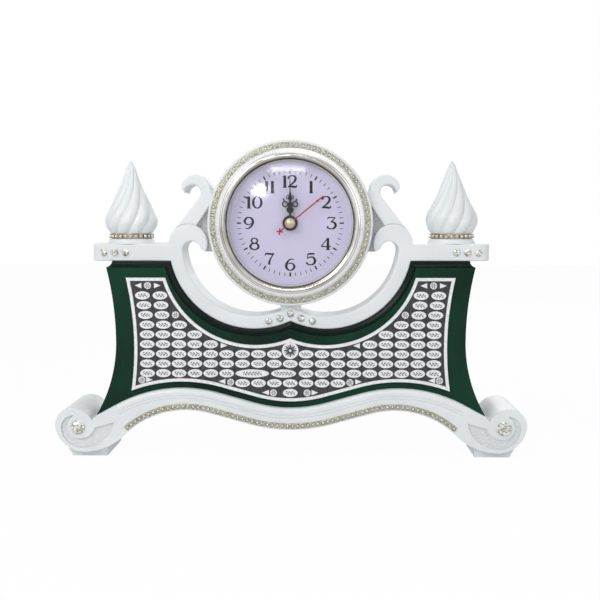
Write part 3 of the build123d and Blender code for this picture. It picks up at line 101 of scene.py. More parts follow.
# %% Wires and finishes
class Wire:
    """One output of a node; arithmetic on wires adds Math nodes to their finish."""

    def __init__(self, finish, socket):
        self.finish = finish
        self.socket = socket

    def maths(self, operation, *values):
        return self.finish.maths_of(operation, *values)

    def __add__(self, other):
        return self.maths("ADD", self, other)

    def __sub__(self, other):
        return self.maths("SUBTRACT", self, other)

    def __rsub__(self, other):
        return self.maths("SUBTRACT", other, self)

    def __mul__(self, other):
        return self.maths("MULTIPLY", self, other)

    def __gt__(self, other):
        return self.maths("GREATER_THAN", self, other)

    def __lt__(self, other):
        return self.maths("LESS_THAN", self, other)

    def __pow__(self, power):
        return self.maths("POWER", self, power)

    def __abs__(self):
        return self.maths("ABSOLUTE", self)


class Finish:
    """A material whose shader sockets are set or wired by name."""

    def __init__(self, name, colour, roughness, metallic=0.0):
        self.material = bpy.data.materials.new(name)
        self.material.use_nodes = True
        self.tree = self.material.node_tree
        self.shader = self.tree.nodes["Principled BSDF"]
        self.feed("Base Color", (*colour, 1.0))
        self.feed("Roughness", roughness)
        self.feed("Metallic", metallic)

    def connect(self, target, value):
        """Wires a socket, or sets its constant."""
        if isinstance(value, Wire):
            self.tree.links.new(value.socket, target)
        else:
            target.default_value = value

    def feed(self, socket, value):
        """Wires or sets an input of the finish's main shader."""
        self.connect(self.shader.inputs[socket], value)

    def node(self, kind, settings=None, values=None, output=0):
        """Adds a node and returns one of its outputs; a colour ramp comes with two end stops."""
        made = self.tree.nodes.new(kind)
        settings = dict(settings or {})
        for place, shade in settings.pop("stops", {}).items():
            stops = made.color_ramp.elements
            stop = stops[-int(place)] if place in (0, 1) else stops.new(place)
            stop.color = (*shade, 1.0)
        for option, value in settings.items():
            setattr(made, option, value)
        for socket, value in (values or {}).items():
            self.connect(made.inputs[socket], value)
        return Wire(self, made.outputs[output])

    def place(self):
        """Object coordinates, which give the place on the clock in metres."""
        return self.node("ShaderNodeTexCoord", output="Object")

    def along(self, axis):
        """One coordinate, in millimetres."""
        return self.node("ShaderNodeSeparateXYZ", None, {0: self.place()}, axis) * 1000.0

    def distance(self, x, z):
        """Distance from a line that runs straight back, seen from the front, in millimetres."""
        across, up = self.along(0) - x, self.along(2) - z
        return (across * across + up * up) ** 0.5

    def wave(self, value):
        return self.maths_of("SINE", value)

    def maths_of(self, operation, *values):
        return self.node("ShaderNodeMath", {"operation": operation}, dict(enumerate(values)))

    def stretched(self, scale):
        return self.node("ShaderNodeMapping", None, {"Vector": self.place(), "Scale": scale})

    def noise(self, scale, detail=2.0, vector=None, roughness=0.5):
        values = {"Scale": scale, "Detail": detail, "Roughness": roughness}
        return self.node("ShaderNodeTexNoise", None, {"Vector": vector or self.place(), **values})

    def between(self, value, low, high, new_low=0.0, new_high=1.0):
        """Maps a range of values to another, held at both ends."""
        sockets = {0: value, 1: low, 2: high, 3: new_low, 4: new_high}
        return self.node("ShaderNodeMapRange", {"clamp": True}, sockets)

    def mixed(self, share, first, second):
        """Colour between two colours."""
        first = first if isinstance(first, Wire) else (*first, 1.0)
        second = second if isinstance(second, Wire) else (*second, 1.0)
        return self.node("ShaderNodeMix", {"data_type": "RGBA"}, {0: share, 6: first, 7: second}, 2)

    def ramp(self, value, stops):
        """Colour picked along a row of colours by a value from 0 to 1."""
        return self.node("ShaderNodeValToRGB", {"stops": stops}, {0: value})

    def mottled(self, pattern, low, high, first, second):
        """Base colour that turns from one colour to another where a pattern rises."""
        self.feed("Base Color", self.mixed(self.between(pattern, low, high), first, second))

    def uneven_gloss(self, pattern, smoothest, roughest):
        """Roughness that follows the middle range of a noise."""
        self.feed("Roughness", self.between(pattern, 0.3, 0.7, smoothest, roughest))

    def bump(self, height, depth, strength):
        values = {"Height": height, "Distance": depth, "Strength": strength}
        self.feed("Normal", self.node("ShaderNodeBump", None, values))


def paint(finish, *nodes):
    """Gives CAD nodes a finish."""
    for node in nodes:
        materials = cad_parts[node].data.materials
        materials.clear()
        materials.append(finish.material)
    print(finish.material.name, "on", ", ".join(nodes))


# %% [markdown]
# ## White case
# The case is cast resin, sprayed with a cool satin white. Up close such a coat is never
# quite even: it has a fine orange peel, slightly glossier and duller patches, and a breath
# of grey where paint gathers. Two noises at different scales give that without a visible
# pattern.

# %% White paint
def white_coat(name):
    """Satin white with clouded colour and gloss, and a peel that is still to be bumped."""
    coat = Finish(name, (0.8, 0.84, 0.87), 0.34)
    patches = coat.noise(38.0, 3.0)
    cloud = coat.between(patches, 0.35, 0.65)
    coat.colour = coat.mixed(cloud, (0.755, 0.79, 0.805), (0.805, 0.838, 0.852))
    coat.feed("Base Color", coat.colour)
    coat.uneven_gloss(patches, 0.3, 0.44)
    coat.peel = coat.noise(900.0, 2.0)
    return coat


white = white_coat("white_paint")
white.bump(white.peel, 0.00004, 0.5)
paint(
    white, "right_scroll_arm", "left_scroll_arm", "right_crest_scroll", "left_crest_scroll",
    "clock_housing", "right_finial", "left_finial",
)

# %% [markdown]
# The rail has two soft lines pressed into its face, which follow its wavy top edge. They
# are a bump, driven by the depth below that edge: round the hump and the dip that is the
# difference between two radii, and on the straight stretch between them a tilted height.
# The numbers are those of the CAD rail.

# %% White rail
HUMP_X, HUMP_Z, HUMP_RADIUS = 77.0, -48.65, 98.0
DIP_Z, DIP_RADIUS = 130.01, 94.7
SLOPE_START_X, SLOPE_START_Z, SLOPE_END_X = 25.15, 38.71, 50.98
SLOPE = math.radians(15.4)
LINE_DEPTHS, LINE_CORE, LINE_RIM = (5.0, 6.9), 0.15, 0.45

rail_coat = white_coat("white_rail")
across, up = abs(rail_coat.along(0)), rail_coat.along(2)
hump = HUMP_RADIUS - ((across - HUMP_X) ** 2.0 + (up - HUMP_Z) ** 2.0) ** 0.5
dip = (across * across + (up - DIP_Z) ** 2.0) ** 0.5 - DIP_RADIUS
straight = (across - SLOPE_START_X) * math.sin(SLOPE) - (up - SLOPE_START_Z) * math.cos(SLOPE)
on_hump, on_dip = across > SLOPE_END_X, across < SLOPE_START_X
below_edge = hump * on_hump + dip * on_dip + straight * (1 - on_hump - on_dip)
upper_line, lower_line = [
    rail_coat.between(abs(below_edge - depth), LINE_CORE, LINE_RIM) for depth in LINE_DEPTHS
]
rail_coat.bump(upper_line * lower_line + rail_coat.peel * 0.08, 0.00035, 0.7)
paint(rail_coat, "base_rail")

# %% [markdown]
# The sunk field of each foot is stippled, so its floor scatters light where the rim round
# it is smooth. Only the depth of that floor gets the coarse grain, and a grey of painted
# shade that is deepest in its pits.

# %% White feet
FIELD_FLOOR_Y, FIELD_MARGIN = -26.8, 0.3

foot_coat = white_coat("white_feet")
on_floor = abs(foot_coat.along(1) - FIELD_FLOOR_Y) < FIELD_MARGIN
pits = foot_coat.noise(1000.0, 3.0)
# Painted shade: the sunk floor is greyed, most of all in its pits.
floor_shade = foot_coat.between(pits, 0.4, 0.6, 0.34, 0.1) * on_floor
foot_coat.feed("Base Color", foot_coat.mixed(floor_shade, foot_coat.colour, (0.46, 0.48, 0.5)))
foot_coat.bump(pits * on_floor + foot_coat.peel * 0.12, 0.0004, 0.8)
paint(foot_coat, "right_foot", "left_foot")

# %% [markdown]
# The webs between ring and scrolls were left rough by the mould: grainy, greyer and matt.

# %% Rough webs
rough_white = Finish("rough_white", (0.6, 0.61, 0.62), 0.7)
grain = rough_white.noise(1300.0, 4.0, roughness=0.7)
rough_white.mottled(grain, 0.35, 0.65, (0.36, 0.365, 0.37), (0.76, 0.77, 0.78))
rough_white.bump(grain, 0.0006, 0.9)
paint(rough_white, "right_web_plate", "left_web_plate")

# %% [markdown]
# ## Green slab
# Deep green under a thick gloss lacquer. The colour clouds from bottle green to a colder,
# nearly black green in soft upright streaks. The lacquer is deep, so little of the pale
# room shows on it. In the cove along its top the green is darkened by painted shade, the
# shadow under the white frame, and a thin line of painted highlight marks the edge of the
# front face.

# %% Green lacquer
FACE_Y, COVE_DEPTH, COVE_LOW_Z, COVE_REACH_X = -22.0, 4.6, 134.8, 105.0
EDGE_START, EDGE_END = 0.05, 0.35

green = Finish("green_lacquer", (0.002, 0.027, 0.015), 0.2)
green.feed("Specular IOR Level", 0.14)
streaks = green.noise(22.0, 4.0, green.stretched((1.0, 1.0, 0.35)), 0.6)
clouds = green.noise(9.0, 2.0)
depth_of_green = green.between(streaks * 0.6 + clouds * 0.4, 0.4, 0.6)
face_green = green.mixed(depth_of_green, (0.0012, 0.015, 0.0095), (0.0035, 0.043, 0.022))
behind_face = green.along(1) - FACE_Y
past_edge = behind_face > EDGE_END
# Painted highlight: a thin lighter green line along the edge of the front face.
edge_highlight_green = green.mixed(behind_face > EDGE_START, face_green, (0.012, 0.05, 0.032))
open_green = green.mixed(past_edge, edge_highlight_green, face_green)
high_up, near_middle = green.along(2) > COVE_LOW_Z, abs(green.along(0)) < COVE_REACH_X
along_top = green.maths_of("MAXIMUM", high_up, near_middle)
# Painted shade: the cove under the white frame is darker green.
cove_shade = past_edge * (behind_face < COVE_DEPTH) * along_top
green.feed("Base Color", green.mixed(cove_shade, open_green, (0.0012, 0.008, 0.0055)))
green.uneven_gloss(streaks, 0.16, 0.26)
green.bump(green.noise(160.0, 2.0), 0.00003, 0.4)
paint(green, "green_block")

# %% [markdown]
# ## Plaque
# A thin cast relief. Its ground is dark gunmetal, combed with fine upright lines that catch
# the light. The raised border, ovals, medallion and arrowheads are wiped with silver-white
# paint that has rubbed unevenly, and the studs are a brighter metal.

# %% Plaque paints
COMB_RATE = 7.8

ground = Finish("plaque_ground", (0.05, 0.05, 0.055), 0.5)
ground.feed("Specular IOR Level", 0.2)
comb = ground.wave(ground.along(0) * COMB_RATE)
broken = ground.noise(700.0, 3.0, ground.stretched((1.0, 1.0, 0.3)))
lines = ground.between(comb + broken * 2.4, 0.9, 2.0)
ground.feed("Base Color", ground.mixed(lines, (0.008, 0.008, 0.01), (0.13, 0.13, 0.137)))
ground.bump(lines, 0.00012, 0.8)
paint(ground, "plaque_plate")

silver_paint = Finish("plaque_silver", (0.75, 0.76, 0.77), 0.36, 0.1)
rubbed = silver_paint.noise(500.0, 3.0)
silver_paint.mottled(rubbed, 0.3, 0.62, (0.72, 0.73, 0.74), (0.87, 0.88, 0.89))
silver_paint.bump(rubbed, 0.00008, 0.4)
paint(silver_paint, "plaque_border", "plaque_cartouches", "plaque_medallion", "plaque_arrowheads")

stud_silver = Finish("stud_silver", (0.7, 0.7, 0.71), 0.3, 0.5)
stud_silver.uneven_gloss(stud_silver.noise(900.0), 0.2, 0.4)
paint(stud_silver, "plaque_studs")

# %% [markdown]
# ## Cup chain and stones
# The chain is pressed from plated sheet and has yellowed slightly in the gaps; the two
# short pieces round the finial necks are a warmer, pinkish plate. The stones are glass with
# a foil behind them, so they look bright and a little smoky rather than clear; their colour
# is painted in patches of light and dark as reflections of their inner facets.

# %% Chain and crystal
plated = Finish("plated_cups", (0.5, 0.49, 0.4), 0.24, 0.8)
tarnish = plated.noise(420.0, 3.0)
plated.mottled(tarnish, 0.3, 0.7, (0.33, 0.32, 0.245), (0.63, 0.62, 0.52))
plated.uneven_gloss(tarnish, 0.18, 0.38)
paint(plated, "base_chain", "ring_chain")

warm_cups = Finish("warm_cups", (0.6, 0.48, 0.34), 0.3, 0.6)
aged = warm_cups.noise(420.0, 3.0)
warm_cups.mottled(aged, 0.3, 0.7, (0.28, 0.23, 0.175), (0.6, 0.53, 0.42))
paint(warm_cups, "finial_chains")


def crystal(name, dark, light, flash_scale):
    """Foiled glass whose colour is painted in light and dark patches, as reflections of its facets.
    """
    glint = Finish(name, light, 0.06, 0.35)
    flashes = {"Vector": glint.place(), "Scale": flash_scale}
    facet_reflection = glint.node("ShaderNodeTexVoronoi", None, flashes, 1)
    share = glint.node("ShaderNodeSeparateColor", None, {0: facet_reflection})
    # Painted reflections: each patch is lit or dark like a facet.
    glint.feed("Base Color", glint.mixed(share, dark, light))
    glint.feed("Coat Weight", 1.0)
    return glint


chain_crystal = crystal("chain_crystal", (0.5, 0.5, 0.4), (0.98, 0.98, 0.93), 1500.0)
set_crystal = crystal("set_crystal", (0.2, 0.2, 0.15), (0.98, 0.98, 0.95), 900.0)
paint(chain_crystal, "base_crystals", "ring_crystals", "finial_crystals")
paint(set_crystal, "shelf_crystals", "cradle_crystals", "foot_crystals")

# %% [markdown]
# ## Bezel and lens
# The bezel is polished chrome plate. The lens is a domed glass: it shows little but the
# reflections that grow towards its rim, so it is a clear shader mixed with a mirror by the
# Fresnel law. The law is switched off where a ray leaves the glass from inside, because a
# thin lens never turns such a ray back and the dial would darken. The chrome's colour
# carries painted reflections: rings of lighter and darker tint where its steps would mirror
# the pale room and the dark hall behind. The ribbed band outside them is darkened towards
# its top by painted shade.

# %% Chrome
dial_low, dial_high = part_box("dial")
dial_height = (dial_low.z + dial_high.z) / 2
BEZEL_INNER, BEZEL_OUTER, BAND_START = 44.0, 52.0, 0.62
TOP_TINT_RISE, TOP_TINT_SHARE = 10.0, 0.45

chrome = Finish("bezel_chrome", (0.78, 0.78, 0.8), 0.1, 1.0)
place_on_ring = chrome.between(chrome.distance(0, dial_height / MM), BEZEL_INNER, BEZEL_OUTER)
# Painted reflections: lighter and darker rings where the chrome's steps would mirror the room.
reflection_rings = chrome.ramp(place_on_ring, {
    0: (0.03, 0.028, 0.025), 0.1: (0.07, 0.06, 0.05), 0.17: (0.34, 0.32, 0.3),
    0.27: (0.58, 0.57, 0.55), 0.37: (0.88, 0.88, 0.87), 0.46: (0.42, 0.4, 0.38),
    0.55: (0.92, 0.92, 0.92), 0.63: (0.4, 0.39, 0.38), 0.68: (0.86, 0.86, 0.87),
    1: (0.9, 0.9, 0.9),
})
# Painted reflection: darker patches of the room on the stepped rings.
room = chrome.between(chrome.noise(26.0, 2.0), 0.4, 0.6)
shade = chrome.mixed(room * (place_on_ring < BAND_START), (1, 1, 1), (0.62, 0.6, 0.57))
multiply = {"data_type": "RGBA", "blend_type": "MULTIPLY"}
painted_reflections = chrome.node("ShaderNodeMix", multiply, {0: 1.0, 6: reflection_rings, 7: shade}, 2)
dial_top = dial_high.z / MM
near_top = chrome.between(chrome.along(2), dial_top, dial_top + TOP_TINT_RISE, 0.0, TOP_TINT_SHARE)
# Painted shade: the ribbed band darkens towards its top.
band_shade = near_top * (place_on_ring > BAND_START)
chrome.feed("Base Color", chrome.mixed(band_shade, painted_reflections, (0.3, 0.3, 0.31)))
chrome.uneven_gloss(chrome.noise(260.0, 3.0), 0.08, 0.2)
paint(chrome, "bezel")

# %% Glass
glass = Finish("lens_glass", (1.0, 1.0, 1.0), 0.02)
clear = glass.node("ShaderNodeBsdfTransparent", None, {"Color": (0.99, 0.99, 1.0, 1.0)})
mirror = glass.node("ShaderNodeBsdfGlossy", None, {"Roughness": 0.1})
edge = glass.node("ShaderNodeFresnel", None, {"IOR": 1.5})
from_inside = glass.node("ShaderNodeNewGeometry", output="Backfacing")
seen = glass.node("ShaderNodeMixShader", None, {0: edge * (1 - from_inside), 1: clear, 2: mirror})
glass.connect(glass.tree.nodes["Material Output"].inputs["Surface"], seen)
paint(glass, "lens")

# %% [markdown]
# ## Dial and hands
# A metal dial printed pale lavender, matt enough not to compete with the lens. The hands
# are stamped sheet, black gloss and crimson, and a small pale gold cap covers their centre.

# %% Dial and hand paints
lavender = Finish("dial_lavender", (0.645, 0.61, 0.77), 0.5)
lavender.mottled(lavender.noise(60.0), 0.3, 0.7, (0.63, 0.595, 0.76), (0.66, 0.623, 0.785))
lavender.uneven_gloss(lavender.noise(300.0), 0.44, 0.56)
paint(lavender, "dial")

black_gloss = Finish("black_hand", (0.005, 0.005, 0.011), 0.4)
black_gloss.feed("Specular IOR Level", 0.2)
black_gloss.uneven_gloss(black_gloss.noise(500.0), 0.32, 0.46)
paint(black_gloss, "hour_hand", "minute_hand")

crimson = Finish("crimson_hand", (0.38, 0.006, 0.035), 0.3)
crimson.feed("Specular IOR Level", 0.2)
crimson.uneven_gloss(crimson.noise(500.0), 0.22, 0.36)
paint(crimson, "second_hand")

pale_gold = Finish("pale_gold", (0.55, 0.48, 0.34), 0.2, 0.8)
pale_gold.uneven_gloss(pale_gold.noise(500.0), 0.28, 0.4)
paint(pale_gold, "second_hand_cap")

# %% [markdown]
# ## Inside the insert
# None of this shows from the front, but it does when the insert is pulled out or seen from
# behind: a white cup, black moulded plastic, milky plastic wheels, brass, spring steel and
# copper wire. The beech dowels sit out of sight between the finials and their shelves.

# %% Moulded plastics
cup_white = Finish("cup_plastic", (0.78, 0.79, 0.8), 0.42)
cup_white.bump(cup_white.noise(1500.0, 2.0), 0.00005, 0.5)
cup_white.uneven_gloss(cup_white.noise(200.0), 0.36, 0.5)
paint(cup_white, "insert_cup")

black_plastic = Finish("black_plastic", (0.022, 0.022, 0.025), 0.5)
pitted = black_plastic.noise(2200.0, 2.0)
black_plastic.bump(pitted, 0.00008, 0.7)
black_plastic.uneven_gloss(pitted, 0.42, 0.6)
paint(black_plastic, "movement_case", "movement_cover", "setting_knob", "train_plate")

milky = Finish("milky_plastic", (0.74, 0.73, 0.66), 0.4)
milky.uneven_gloss(milky.noise(800.0), 0.34, 0.46)
paint(
    milky, "second_wheel", "third_wheel", "centre_wheel", "intermediate_wheel",
    "minute_pipe", "hour_wheel", "setting_wheel",
)

rubber = Finish("rubber_band", (0.03, 0.03, 0.03), 0.75)
rubber.bump(rubber.noise(1200.0, 3.0), 0.0001, 0.8)
paint(rubber, "fit_ring")

# %% Metals, wood, wire and circuit
brass = Finish("turned_brass", (0.72, 0.55, 0.26), 0.28, 1.0)
brass.uneven_gloss(brass.noise(900.0), 0.2, 0.38)
paint(brass, "threaded_bushing", "dial_washer", "dial_nut")

steel = Finish("spring_steel", (0.56, 0.56, 0.55), 0.3, 1.0)
brushed = steel.noise(900.0, 2.0, steel.stretched((0.1, 1.0, 1.0)))
steel.uneven_gloss(brushed, 0.22, 0.42)
paint(steel, "clutch_spring", "battery_contacts", "stator", "quartz_can")

magnet = Finish("magnet", (0.16, 0.16, 0.17), 0.45, 0.7)
magnet.uneven_gloss(magnet.noise(900.0), 0.36, 0.55)
paint(magnet, "rotor")

WINDING_RATE = 24.0
copper = Finish("copper_wire", (0.62, 0.24, 0.1), 0.32, 0.9)
turns = copper.wave(copper.along(0) * WINDING_RATE)
copper.bump(turns, 0.00006, 0.8)
# Painted shade and highlight: the wire is darker in the grooves between its turns and lighter on
# their crests.
copper.mottled(turns, -0.6, 0.6, (0.4, 0.13, 0.05), (0.72, 0.3, 0.13))
paint(copper, "coil")

beech = Finish("beech", (0.6, 0.42, 0.25), 0.6)
fibres = beech.noise(700.0, 3.0, beech.stretched((1.0, 1.0, 0.08)))
beech.mottled(fibres, 0.3, 0.7, (0.48, 0.3, 0.16), (0.68, 0.5, 0.32))
paint(beech, "finial_dowels")

board = Finish("circuit_board", (0.015, 0.16, 0.06), 0.35)
tracks = board.between(board.noise(420.0, 0.0), 0.5, 0.52)
board.feed("Base Color", board.mixed(tracks, (0.012, 0.13, 0.05), (0.03, 0.26, 0.1)))
board.bump(tracks, 0.00003, 0.6)
paint(board, "circuit_board")

# %% [markdown]
# The cell carries a plain sleeve: a dark blue-grey body with a lighter band at the plus end,
# and bare metal where the sleeve stops at both ends.

# %% Battery sleeve
MINUS_END, PLUS_END, PLUS_BAND = 0.8, 2.2, 13.0

cell = Finish("cell_sleeve", (0.05, 0.08, 0.16), 0.3)
cell_low, cell_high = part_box("battery")
x = cell.along(0)
bare_end = (x < cell_low.x / MM + MINUS_END) + (x > cell_high.x / MM - PLUS_END)
band = x > cell_high.x / MM - PLUS_BAND
sleeve = cell.mixed(band, (0.035, 0.06, 0.13), (0.42, 0.44, 0.46))
cell.feed("Base Color", cell.mixed(bare_end, sleeve, (0.66, 0.66, 0.66)))
cell.feed("Metallic", bare_end)
paint(cell, "battery")

# %% [markdown]
# ## Modelling many small pieces
# Stones, prongs, ribs and leaves are each modelled once, about one unit large and face up.
# Stones and leaves have their foot on the XY plane, prongs and ribs their middle. A place
# is then a matrix that turns the piece to face outwards and gives it its size. The copies
# get their own mesh and are gathered into one object, which stays unturned at the origin as
# every piece here does.

# %% Helpers for repeated pieces
FRONT = Vector((0, -1, 0))


def new_model(add_primitive):
    """Starts a model from a primitive, with nothing else selected, in edit mode."""
    bpy.ops.object.select_all(action="DESELECT")
    add_primitive()
    bpy.ops.object.mode_set(mode="EDIT")
    return bpy.context.object


def new_disc(sides):
    """Starts a model from a flat disc of radius 1."""
    return new_model(
        lambda: bpy.ops.mesh.primitive_circle_add(vertices=sides, radius=1, fill_type="NGON")
    )


def add_tier(rise, width, depth):
    """Extrudes the selected face upwards and scales it about the model's middle."""
    bpy.ops.mesh.extrude_region_move(TRANSFORM_OT_translate={"value": (0, 0, rise)})
    bpy.ops.transform.resize(value=(width, depth, 1), center_override=(0, 0, 0))


def close_model(model):
    """Leaves edit mode with all faces pointing outwards."""
    bpy.ops.mesh.select_all(action="SELECT")
    bpy.ops.mesh.normals_make_consistent(inside=False)
    bpy.ops.object.mode_set(mode="OBJECT")
    return model


def facing(place, out=FRONT, up=None):
    """Matrix that sets a model's foot at a place and its face outwards."""
    if up is None:
        return Matrix.Translation(place) @ out.to_track_quat("Z", "Y").to_matrix().to_4x4()
    turn = Matrix((up.cross(out), up, out)).transposed()
    return Matrix.Translation(place) @ turn.to_4x4()


def sized(width, depth, height):
    return Matrix.Diagonal((width, depth, height, 1.0))


def as_mesh(drawing):
    """Puts a curve object into the scene and makes it a mesh."""
    bpy.context.collection.objects.link(drawing)
    bpy.ops.object.select_all(action="DESELECT")
    drawing.select_set(True)
    bpy.context.view_layer.objects.active = drawing
    bpy.ops.object.convert(target="MESH")
    return bpy.context.object


def repeated(name, model, places):
    """Copies a model to every place, as one object."""
    whole = bmesh.new()
    for place in places:
        copy = model.data.copy()
        copy.transform(place)
        whole.from_mesh(copy)
        bpy.data.meshes.remove(copy)
    mesh = bpy.data.meshes.new(name)
    whole.to_mesh(mesh)
    whole.free()
    piece = bpy.data.objects.new(name, mesh)
    bpy.context.collection.objects.link(piece)
    return piece


def fitted(piece, finish, body, slot, *replaced):
    """Gives a new piece its finish and its body, and hides the CAD nodes it replaces; slot is not
    used.
    """
    piece.data.materials.clear()
    piece.data.materials.append(finish.material)
    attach(piece, body)
    if replaced:
        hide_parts(*replaced)
    print(piece.name, "has", len(piece.data.polygons), "faces and rides on", body)


# %% [markdown]
# ## Where the stones sit
# The CAD solids of the stones say where each one goes: walking over shared corners splits a
# node into its separate solids. A solid's corners then give its middle, its radius and how
# far it stands out.

# %% Seats of the stones
def separate_solids(node):
    """Corner points of each separate solid in a CAD node."""
    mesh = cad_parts[node].data
    corners = [tuple(round(value, 6) for value in vertex.co) for vertex in mesh.vertices]
    leader = {corner: corner for corner in corners}

    def first(corner):
        while leader[corner] != corner:
            corner = leader[corner]
        return corner

    for polygon in mesh.polygons:
        start, *others = [first(corners[index]) for index in polygon.vertices]
        for other in others:
            leader[other] = start
    solids = {}
    for corner in leader:
        solids.setdefault(first(corner), []).append(Vector(corner))
    return list(solids.values())


def seat(points, out=FRONT):
    """Foot, radius and height of a round solid that stands outwards."""
    middle = sum(points, Vector()) / len(points)
    heights = [point.dot(out) for point in points]
    foot = middle + out * (min(heights) - middle.dot(out))
    spread = max((point - middle - out * (point - middle).dot(out)).length for point in points)
    return foot, spread, max(heights) - min(heights)


facing_front = (
    "ring_crystals", "base_crystals", "shelf_crystals", "cradle_crystals", "foot_crystals",
)
seats = {}
for node in facing_front:
    seats[node] = [(*seat(points), FRONT) for points in separate_solids(node)]
    print(node, len(seats[node]), "stones")

# %% [markdown]
# The stones round the finial necks face outwards from the finial's own axis, so each needs
# its own outward direction.

# %% Seats of the neck stones
def finial_axis(x):
    """Middle of the finial on that side, seen from above."""
    low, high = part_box("right_finial" if x > 0 else "left_finial")
    return (low + high) / 2


seats["finial_crystals"] = []
for points in separate_solids("finial_crystals"):
    middle = sum(points, Vector()) / len(points)
    outward = middle - finial_axis(middle.x)
    outward.z = 0
    outward.normalize()
    seats["finial_crystals"].append((*seat(points, outward), outward))
print("finial_crystals", len(seats["finial_crystals"]), "stones")

# %% [markdown]
# ## Cut stones
# A cut stone is a disc whose crown tapers to a small flat table. Each tier is extruded,
# narrowed and turned by half a step, and splitting its walls into triangles gives the
# zigzag of facets. Above an upright edge the small chain stones have one such tier, the
# larger ones two.

# %% Cutting a stone
def cut_stone(sides, tiers):
    """Stone of radius 1 and height 1, cut in tiers of rise, width and turn."""
    model = new_disc(sides)
    width = 1.0
    for rise, tier_width, turn in tiers:
        add_tier(rise, tier_width / width, tier_width / width)
        angle = turn * math.pi / sides
        bpy.ops.transform.rotate(value=angle, orient_axis="Z", center_override=(0, 0, 0))
        width = tier_width
    bpy.ops.mesh.select_all(action="SELECT")
    bpy.ops.mesh.quads_convert_to_tris(quad_method="FIXED")
    return close_model(model)


small_cut = cut_stone(8, ((0.4, 1, 0), (0.6, 0.56, 1)))
large_cut = cut_stone(12, ((0.3, 1, 0), (0.4, 0.78, 1), (0.3, 0.45, 1)))
print("facets:", len(small_cut.data.polygons), len(large_cut.data.polygons))

# %% Setting the stones
settings = (
    ("ring_stones", "ring_crystals", small_cut, chain_crystal),
    ("base_stones", "base_crystals", small_cut, chain_crystal),
    ("neck_stones", "finial_crystals", small_cut, chain_crystal),
    ("shelf_stones", "shelf_crystals", large_cut, set_crystal),
    ("cradle_stones", "cradle_crystals", large_cut, set_crystal),
    ("foot_stones", "foot_crystals", large_cut, set_crystal),
)
for name, node, cut, finish in settings:
    places = [
        facing(foot, out) @ sized(radius, radius, height)
        for foot, radius, height, out in seats[node]
    ]
    fitted(repeated(name, cut, places), finish, "case", "crystal", node)

# %% [markdown]
# ## Prongs of the cup chains
# Each cup of the chain holds its stone with four small prongs at its corners. The nearest
# neighbour of a stone shows which way the chain runs there, and the corners lie along and
# across that direction.

# %% Prongs
CORNER, PRONG_RISE, PRONG_RADIUS, PRONG_FLATNESS = 1.22 * MM, 1.1 * MM, 0.3 * MM, 0.8
chains = (
    ("ring_crystals", "ring_prongs", plated),
    ("base_crystals", "base_prongs", plated),
    ("finial_crystals", "neck_prongs", warm_cups),
)

bead = new_model(lambda: bpy.ops.mesh.primitive_ico_sphere_add(subdivisions=1, radius=1))
bpy.ops.transform.resize(value=(1, 1, PRONG_FLATNESS))
bead = close_model(bead)
for node, name, plate in chains:
    places = []
    for foot, _, _, out in seats[node]:
        others = [other[0] for other in seats[node] if other[0] != foot]
        run = min(others, key=lambda other: (other - foot).length) - foot
        run = (run - out * run.dot(out)).normalized()
        side = out.cross(run)
        for along, across in ((1, 1), (1, -1), (-1, 1), (-1, -1)):
            corner = foot + (run * along + side * across) * CORNER + out * PRONG_RISE
            places.append(facing(corner, out) @ sized(PRONG_RADIUS, PRONG_RADIUS, PRONG_RADIUS))
    fitted(repeated(name, bead, places), plate, "case", "chain_metal")

# %% [markdown]
# ## Ribbed band of the bezel
# Outside its bright step the bezel has a sloping band of fine radial ribs. One rib is a
# small bar, two units long and wide, with its two long upper edges rolled over; copies
# stand side by side round the band, each laid on the slope.

# %% Ribs
RIB_COUNT, RIB_ROLL = 168, 0.7
BAND_RUN, BAND_RISE = 2.8, 2.35
BAND_RADIUS, BAND_Y = 50.6 * MM, -27.6 * MM
RIB_SIZE = (0.62 * MM, 1.55 * MM, 0.32 * MM)

rib = new_model(lambda: bpy.ops.mesh.primitive_cube_add(size=2))
bpy.ops.mesh.select_all(action="DESELECT")
bpy.ops.object.mode_set(mode="OBJECT")
for rib_edge in rib.data.edges:
    first_end, second_end = (rib.data.vertices[index].co for index in rib_edge.vertices)
    on_top = min(first_end.z, second_end.z) > 0
    lengthwise = abs(first_end.x - second_end.x) < 1
    rib_edge.select = on_top and lengthwise
bpy.ops.object.mode_set(mode="EDIT")
bpy.ops.mesh.select_mode(type="EDGE")
bpy.ops.mesh.bevel(offset=RIB_ROLL, segments=2, affect="EDGES")
rib = close_model(rib)

places = []
for number in range(RIB_COUNT):
    angle = 2 * math.pi * number / RIB_COUNT
    radial = Vector((math.sin(angle), 0, math.cos(angle)))
    slope = (radial * BAND_RUN - FRONT * BAND_RISE).normalized()
    out = (radial * BAND_RISE + FRONT * BAND_RUN).normalized()
    place = Vector((0, BAND_Y, dial_height)) + radial * BAND_RADIUS
    places.append(facing(place, out, slope) @ sized(*RIB_SIZE))
fitted(repeated("bezel_ribs", rib, places), chrome, "insert", "bezel_chrome")

# %% [markdown]
# ## Smooth lens
# The solid lens is cut into flat facets, which would break up its reflections. This dome has
# the same size and thickness, spun in fine steps from its half section: two arcs of large
# radius, joined at the rim.

# %% Spun lens
LENS_RADIUS, LENS_REACH, LENS_APEX, LENS_THICKNESS = 273.0, 44.8, -32.0, 1.5
ARC_STEPS, SPIN_STEPS, MERGE_DISTANCE = 24, 96, 0.00001

